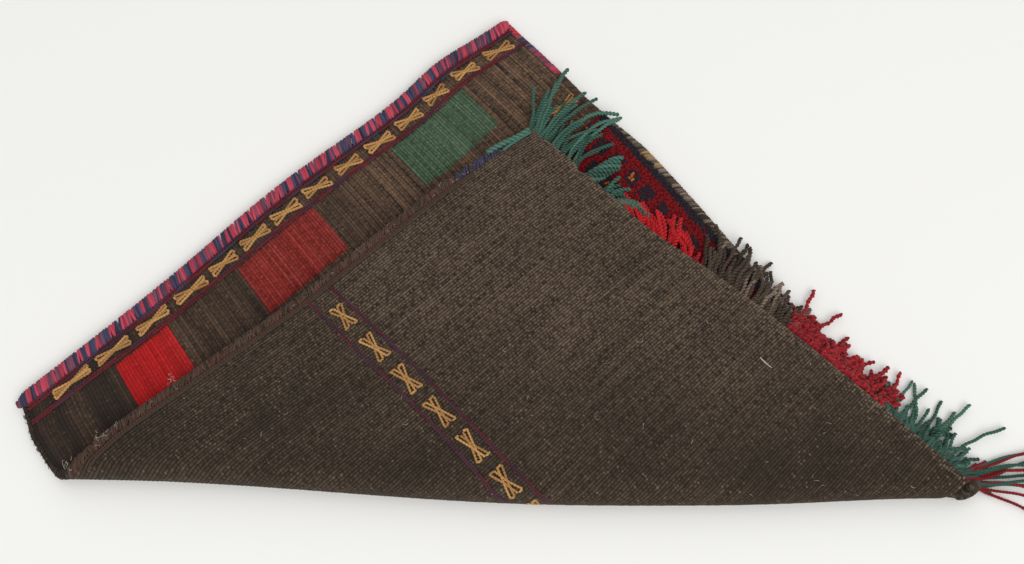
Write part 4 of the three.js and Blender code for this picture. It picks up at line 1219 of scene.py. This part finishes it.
def rest_height(x, y):
    place = np.stack([x, y], -1) - MOUTH_RIGHT
    along = np.clip(place @ (FOLD_RIGHT - MOUTH_RIGHT) / RIGHT_SIDE ** 2, 0, 1)
    outside = place @ SIDE_OUTWARD - SIDE_BOW * bow(along)
    height = np.where(place @ MOUTH_INWARD > PILE_START - PILE_EARLY, PILE_TOP, BAND_TOP)
    height = np.where(outside > -CORD_EARLY, CORD_TOP, height)
    return np.where(outside > 2 * RIGHT_CORD + CORD_SEAT + CORD_PAST, 0.0, height)


def foot_root(across):
    k = 1 - across / FOOT_WIDTH
    return on_cloth(k, warp(k)[4] - ROOT_INSET, ROOT_DEPTH)


def strand_line(seen, kink, wave, radius, lift, draws):
    root = foot_root(seen.at)
    reach = np.arange(0, seen.long, STRAND_STEP)
    swing = np.sin(2 * math.pi * reach / wave + draws.uniform(0, 6))
    turn = np.radians(seen.heads + seen.bends * reach / seen.long + kink * swing)
    x = root[0] + np.cumsum(np.cos(turn)) * STRAND_STEP
    y = root[1] + np.cumsum(np.sin(turn)) * STRAND_STEP
    rest = rest_height(x, y) + radius
    padded = np.pad(rest, SMOOTHING, mode="edge")
    smooth = np.convolve(padded, np.ones(2 * SMOOTHING + 1) / (2 * SMOOTHING + 1), mode="valid")
    down = np.clip(reach / ROOT_DROP, 0, 1)
    height = root[2] * (1 - down) + (np.maximum(rest, smooth) + lift) * down
    height = height + KINK_RISE * kink * np.sin(2 * math.pi * reach / wave + 1)
    return np.stack([x, y, np.maximum(height, rest)], -1)


print("a strand leaves the foot at", foot_root(40).round(1))

# %% Strands and bunches
FRINGE_DYES = [GREEN, SCARLET, BROWN, CRIMSON, GREY_BROWN]
PLY_SIDES, PLY_LOBES, PLY_TWIST = 10, 0.24, 3.4  # a ply goes once round in so many radii
BEAD_LONG = 4.5  # a strand that was plaited has a bead at each crossing
BUNCH_SPREAD = 7  # degrees by which strands of a bunch differ
fringes = {}


def two_ply(line, thick, radius):
    return yarn(line, thick, PLY_SIDES, PLY_LOBES, PLY_TWIST * radius)


def lay_strand(node, seen, radius, dye, shade, draws, kink=5, wave=22, beady=0.0):
    skein = fringes.setdefault(node, Skein(FRINGE_DYES))
    thick = radius * draws.uniform(0.85, 1.12)
    wave = wave * draws.uniform(0.8, 1.2)
    line = strand_line(seen, kink, wave, thick * (1 + beady), draws.uniform(0, 2.5), draws)
    swell = 1 + beady * np.sin(np.arange(len(line)) * STRAND_STEP * 2 * math.pi / BEAD_LONG)
    skein.add(two_ply(line, thick * swell, radius), dye, shade)


def lay_seen(node, strands, radius, dyes, shades, draws, **curl):
    for i, seen in enumerate(strands):
        lay_strand(node, seen, radius, dyes[i % len(dyes)], draws.uniform(*shades), draws, **curl)


def bunch(node, dyes, count, at, heads, long, bends, radius, seed, shades=(0.1, 0.9), **curl):
    draws = np.random.default_rng(seed)
    for i in range(count):
        share = (i + draws.uniform(0.1, 0.9)) / count
        place = at[0] + (at[1] - at[0]) * share
        turn = heads[0] + (heads[1] - heads[0]) * share + draws.normal(0, BUNCH_SPREAD)
        seen = Strand(place, turn, draws.uniform(*long), draws.uniform(*bends))
        lay_strand(node, seen, radius, pick(draws, dyes), draws.uniform(*shades), draws, **curl)


def twisted(node, dye, count, seen, wide, pitch, radius, seed):
    draws = np.random.default_rng(seed)
    axis = strand_line(seen, 0, 30, wide + radius, 0.5, draws)
    _, up, aside = frames_along(axis)
    for i in range(count):
        cut = len(axis) - draws.integers(0, 6)
        turn = (2 * math.pi * (i / count + np.arange(cut) * STRAND_STEP / pitch))[:, None]
        line = axis[:cut] + wide * (np.cos(turn) * up[:cut] + np.sin(turn) * aside[:cut])
        fringes[node].add(two_ply(line, radius, radius), dye, draws.uniform(0.1, 0.9))


print("fringe dyes:", [dye.name for dye in FRINGE_DYES])

# %% [markdown]
# The strands that can be told apart in the picture are laid one by one, each with the place where it
# leaves the foot, the way it heads, its length and how far it bends. Shorter bunches fill in between
# them.

# %% Green fringe
green_seen = [
    Strand(1, 74, 44, 25), Strand(4, 77, 64, -18), Strand(6, 72, 52, 4), Strand(9, 70, 55, -32),
    Strand(14, 72, 57, -45), Strand(20, 80, 62, -85), Strand(24, 72, 36, -10), Strand(29, 74, 38, 8),
    Strand(36, 86, 60, -72), Strand(41, 84, 58, -56),
]
lay_seen("green_fringe", green_seen, 1.4, (GREEN,), (0.2, 1), np.random.default_rng(60))
bunch("green_fringe", (GREEN,), 24, at=(2, 45), heads=(80, 78), long=(22, 46), bends=(-55, -5),
      radius=1.3, seed=61, shades=(0, 0.6))
twisted("green_fringe", GREEN, 7, Strand(51, 40, 30, -8), wide=3.6, pitch=40, radius=1.6, seed=62)
bunch("green_fringe", (GREEN,), 14, at=(67, 81), heads=(100, 60), long=(16, 26), bends=(-170, -60),
      radius=1.5, seed=63)
print("green strands:", len(fringes["green_fringe"].points))

# %% Strands along the left edge
LEFT_STRANDS = {0.6: (33, 3.0, 2.0), 3.4: (24, 2.0, 1.2)}  # mm in from the edge: length, height and radius
LEFT_SWAY, LEFT_SWAY_LONG = 0.8, 7

for inset, (length, height, radius) in LEFT_STRANDS.items():
    back = np.arange(2, length, STRAND_STEP)
    k = 1 - (inset + LEFT_SWAY * np.sin(back / LEFT_SWAY_LONG + inset)) / FOOT_WIDTH
    line = on_cloth(k, warp(1)[4] - back, np.full(len(back), -height))
    fringes["green_fringe"].add(two_ply(line, radius, radius), GREEN, 0.9)
print("green strands with those along the edge:", len(fringes["green_fringe"].points))

# %% Red fringe
bunch("red_fringe", (SCARLET,), 30, at=(82, 108), heads=(106, 62), long=(19, 27), bends=(30, 80),
      radius=1.4, seed=64)
bunch("red_fringe", (SCARLET,), 10, at=(113, 124), heads=(82, 60), long=(23, 29), bends=(15, 70),
      radius=1.5, seed=65)
bunch("red_fringe", (SCARLET,), 6, at=(130, 136), heads=(66, 58), long=(26, 30), bends=(40, 110),
      radius=1.45, seed=66)
bunch("red_fringe", (SCARLET,), 14, at=(106, 148), heads=(90, 70), long=(10, 16), bends=(-20, 60),
      radius=1.3, seed=67, shades=(0, 0.5))
print("red strands:", len(fringes["red_fringe"].points))

# %% Brown and crimson fringe
brown_seen = [
    Strand(152, 58, 43, 45), Strand(156, 60, 44, 5), Strand(162, 62, 44, 2), Strand(168, 54, 45, 28),
    Strand(174, 57, 43, -3), Strand(181, 46, 37, 55), Strand(186, 50, 40, 35), Strand(192, 50, 33, 5),
    Strand(201, 42, 30, 10),
]
crimson_seen = [
    Strand(206, 44, 46, 26), Strand(209, 34, 44, 110), Strand(214, 40, 45, -4), Strand(226, 28, 36, 15),
    Strand(240, 46, 36, -50), Strand(256, 36, 36, 0), Strand(267, 14, 40, 60), Strand(271, 34, 30, -9),
]
draws = np.random.default_rng(70)
lay_seen("brown_fringe", brown_seen, 1.5, (BROWN,), (0, 0.8), draws, kink=9, wave=16)
bunch("brown_fringe", (BROWN, BROWN, GREY_BROWN), 46, at=(147, 210), heads=(72, 50), long=(18, 34),
      bends=(-20, 30), radius=1.45, seed=71, shades=(0, 0.55), kink=9, wave=16)
lay_seen("crimson_fringe", crimson_seen, 1.5, (CRIMSON,), (0.2, 0.9), draws, kink=14, wave=11, beady=0.16)
bunch("crimson_fringe", (CRIMSON,), 84, at=(206, 275), heads=(58, 40), long=(18, 33), bends=(-50, 50),
      radius=1.7, seed=72, kink=34, wave=9, beady=0.2)
print("brown strands:", len(fringes["brown_fringe"].points),
      "crimson strands:", len(fringes["crimson_fringe"].points))

# %% Corner fringe and tassel
corner_seen = [
    Strand(279, 44, 39, 9), Strand(287, 48, 40, -3), Strand(295, 44, 43, 50), Strand(298, 44, 31, 15),
    Strand(303, 44, 42, 20), Strand(309, 48, 40, 0), Strand(313, 57, 51, -17), Strand(315, 50, 29, -50),
    Strand(321, 49, 55, -33),
]
tassel_seen = [
    Strand(327, 26, 66, -16), Strand(330, 28, 68, -14), Strand(331, 20, 66, -6), Strand(333, 24, 62, -26),
    Strand(334, 18, 64, -24), Strand(335, 16, 60, -40), Strand(336, 8, 60, -10), Strand(337, -2, 54, -40),
    Strand(332, 30, 58, -34), Strand(336, 14, 34, 8), Strand(335, 4, 64, 4), Strand(336, 2, 58, -24),
]
draws = np.random.default_rng(80)
lay_seen("corner_fringe", corner_seen, 1.25, (GREEN,), (0.2, 1), draws, kink=7, wave=12)
bunch("corner_fringe", (GREEN,), 58, at=(274, 328), heads=(60, 40), long=(12, 32), bends=(-40, 40),
      radius=1.35, seed=81, shades=(0, 0.8), kink=12, wave=12)
lay_seen("corner_tassel", tassel_seen, 1.05, (GREEN, CRIMSON), (0, 0.4), draws, kink=5, wave=30)
bunch("corner_tassel", (GREEN, GREEN, CRIMSON), 22, at=(324, 337), heads=(34, 10), long=(14, 30),
      bends=(-20, 20), radius=1.0, seed=82, shades=(0, 0.5))
for node, skein in fringes.items():
    finish_on_cloth(skein, node + "_yarn", node)

# %% [markdown]
# ## Loose fibres
# Old wool sheds. Pale lint has caught on the flap, and the short left edge is frayed to a fuzz. These
# are single fibres, too thin to model one by one at true size, so fewer and thicker ones stand for
# them.

# %% One loose fibre
FIBRE_RADIUS = 0.1
TAPER = np.array([1, 1, 1, 0.9, 0.7, 0.5])
# fibres that are not spun let light through, so lint looks paler than any yarn
LINT = yarn_wool("pale_wool_lint", "#857862", "#d8d0c2")
fluff = np.random.default_rng(71)
loose = Skein([LINT, DARK_BROWN, GREY_BROWN])


def fibre(root, direction, length, curl, radius):
    steps = np.linspace(0, 1, len(TAPER))
    side = unit(np.cross(direction, [0, 0, 1.0]))
    line = root + np.outer(steps * length, direction) + np.outer(np.sin(steps * 2.6) * curl * length, side)
    return yarn(line, radius * TAPER, sides=4)


def shed(root, heading, long, curls, dye, shades, radius=FIBRE_RADIUS):
    body = fibre(root, heading, fluff.uniform(*long), fluff.uniform(*curls), radius)
    loose.add(body, dye, fluff.uniform(*shades))


def any_way(rise):
    return np.array([*bearing(fluff.uniform(0, 360)), fluff.uniform(*rise)])


def on_flap(acrosses, shares, lift):
    k, share = fluff.uniform(*acrosses), fluff.uniform(*shares)
    to_fold, length = [float(v) for v in warp(k)[3:]]
    return on_cloth(k, to_fold + (length - to_fold) * share, -RIB_HEIGHT - lift)


print("a fibre is", 2 * FIBRE_RADIUS, "mm thick here")

# %% Lint on the flap
LINT_COUNT, CURL_COUNT, CURL_RADIUS = 46, 12, 0.08
CURL_TURNS, CURL_SIZES, CURL_POINTS = (1.5, 4), (1.5, 3.5), 24

for _ in range(LINT_COUNT):
    root = on_flap((0.03, 0.98), (0.1, 0.98), lift=0.1)
    shed(root, any_way((0, 0.12)), (1, 3), (-0.4, 0.4), LINT, (0, 1))
for _ in range(CURL_COUNT):
    root = on_flap((0.3, 0.95), (0.15, 0.95), lift=0.2)
    turn = np.linspace(0, fluff.uniform(*CURL_TURNS), CURL_POINTS) + fluff.uniform(0, 6)
    size = fluff.uniform(*CURL_SIZES) * np.linspace(1, 0.4, CURL_POINTS)
    curl = np.stack([np.cos(turn) * size, np.sin(turn) * size, 0.02 * turn], -1)
    loose.add(yarn(root + curl, CURL_RADIUS, sides=4), LINT, fluff.uniform(0, 0.6))
print("lint:", len(loose.points), "fibres")

# %% Fuzz on the left edge
SHORT_FUZZ, SHORT_FUZZ_TO, SHORT_FUZZ_RADIUS = 260, 85, 0.2  # on the short side below the fold
FLAP_FUZZ, FLAP_FUZZ_FROM = 120, 80  # and along the flap
FUZZ_BEARING, FUZZ_SPREAD = 205, 60
TUFT_FIBRES, TUFT_SPREAD = 9, 1.6
LINT_TUFTS = ((-246, -133, 19), (-231, -116, 20), (-194, -80, 20))  # pale lint caught on the left edge
LONG_HAIR_AT, LONG_HAIR_WAY = np.array([145.5, -58.6, 21.4]), np.array([6.5, -6.3, 0.0])

for _ in range(SHORT_FUZZ):
    along = fluff.uniform(0, SHORT_FUZZ_TO)
    root = on_cloth(1.002, along, fluff.uniform(1, FACE_TOP)) + [0, 0, 0.3]
    heading = np.array([*bearing(fluff.normal(FUZZ_BEARING, FUZZ_SPREAD)), fluff.uniform(0, 0.5)])
    shed(root, unit(heading), (0.8, 3.2), (-1, 1), DARK_BROWN, (0, 0.3), SHORT_FUZZ_RADIUS)
for _ in range(FLAP_FUZZ):
    along = fluff.uniform(FLAP_FUZZ_FROM, float(warp(1)[4]))
    root = on_cloth(fluff.uniform(0.99, 1.004), along, -1.6)
    heading = unit(any_way((0, 0.4)))
    dye = pick(fluff, (DARK_BROWN, DARK_BROWN, GREY_BROWN, LINT))
    shed(root, heading, (1, 3.5), (-0.5, 0.5), dye, (0, 0.7))
for tuft in LINT_TUFTS:
    for _ in range(TUFT_FIBRES):
        heading = unit(any_way((0.1, 0.8)))
        root = np.array(tuft) + fluff.normal(0, TUFT_SPREAD, 3) * [1, 1, 0.2]
        shed(root, heading, (1, 3), (-1, 1), LINT, (0, 0.7))
loose.add(fibre(LONG_HAIR_AT, unit(LONG_HAIR_WAY), length=9, curl=0.05, radius=0.35), LINT, 0.9)
loose.piece("loose_fibres")
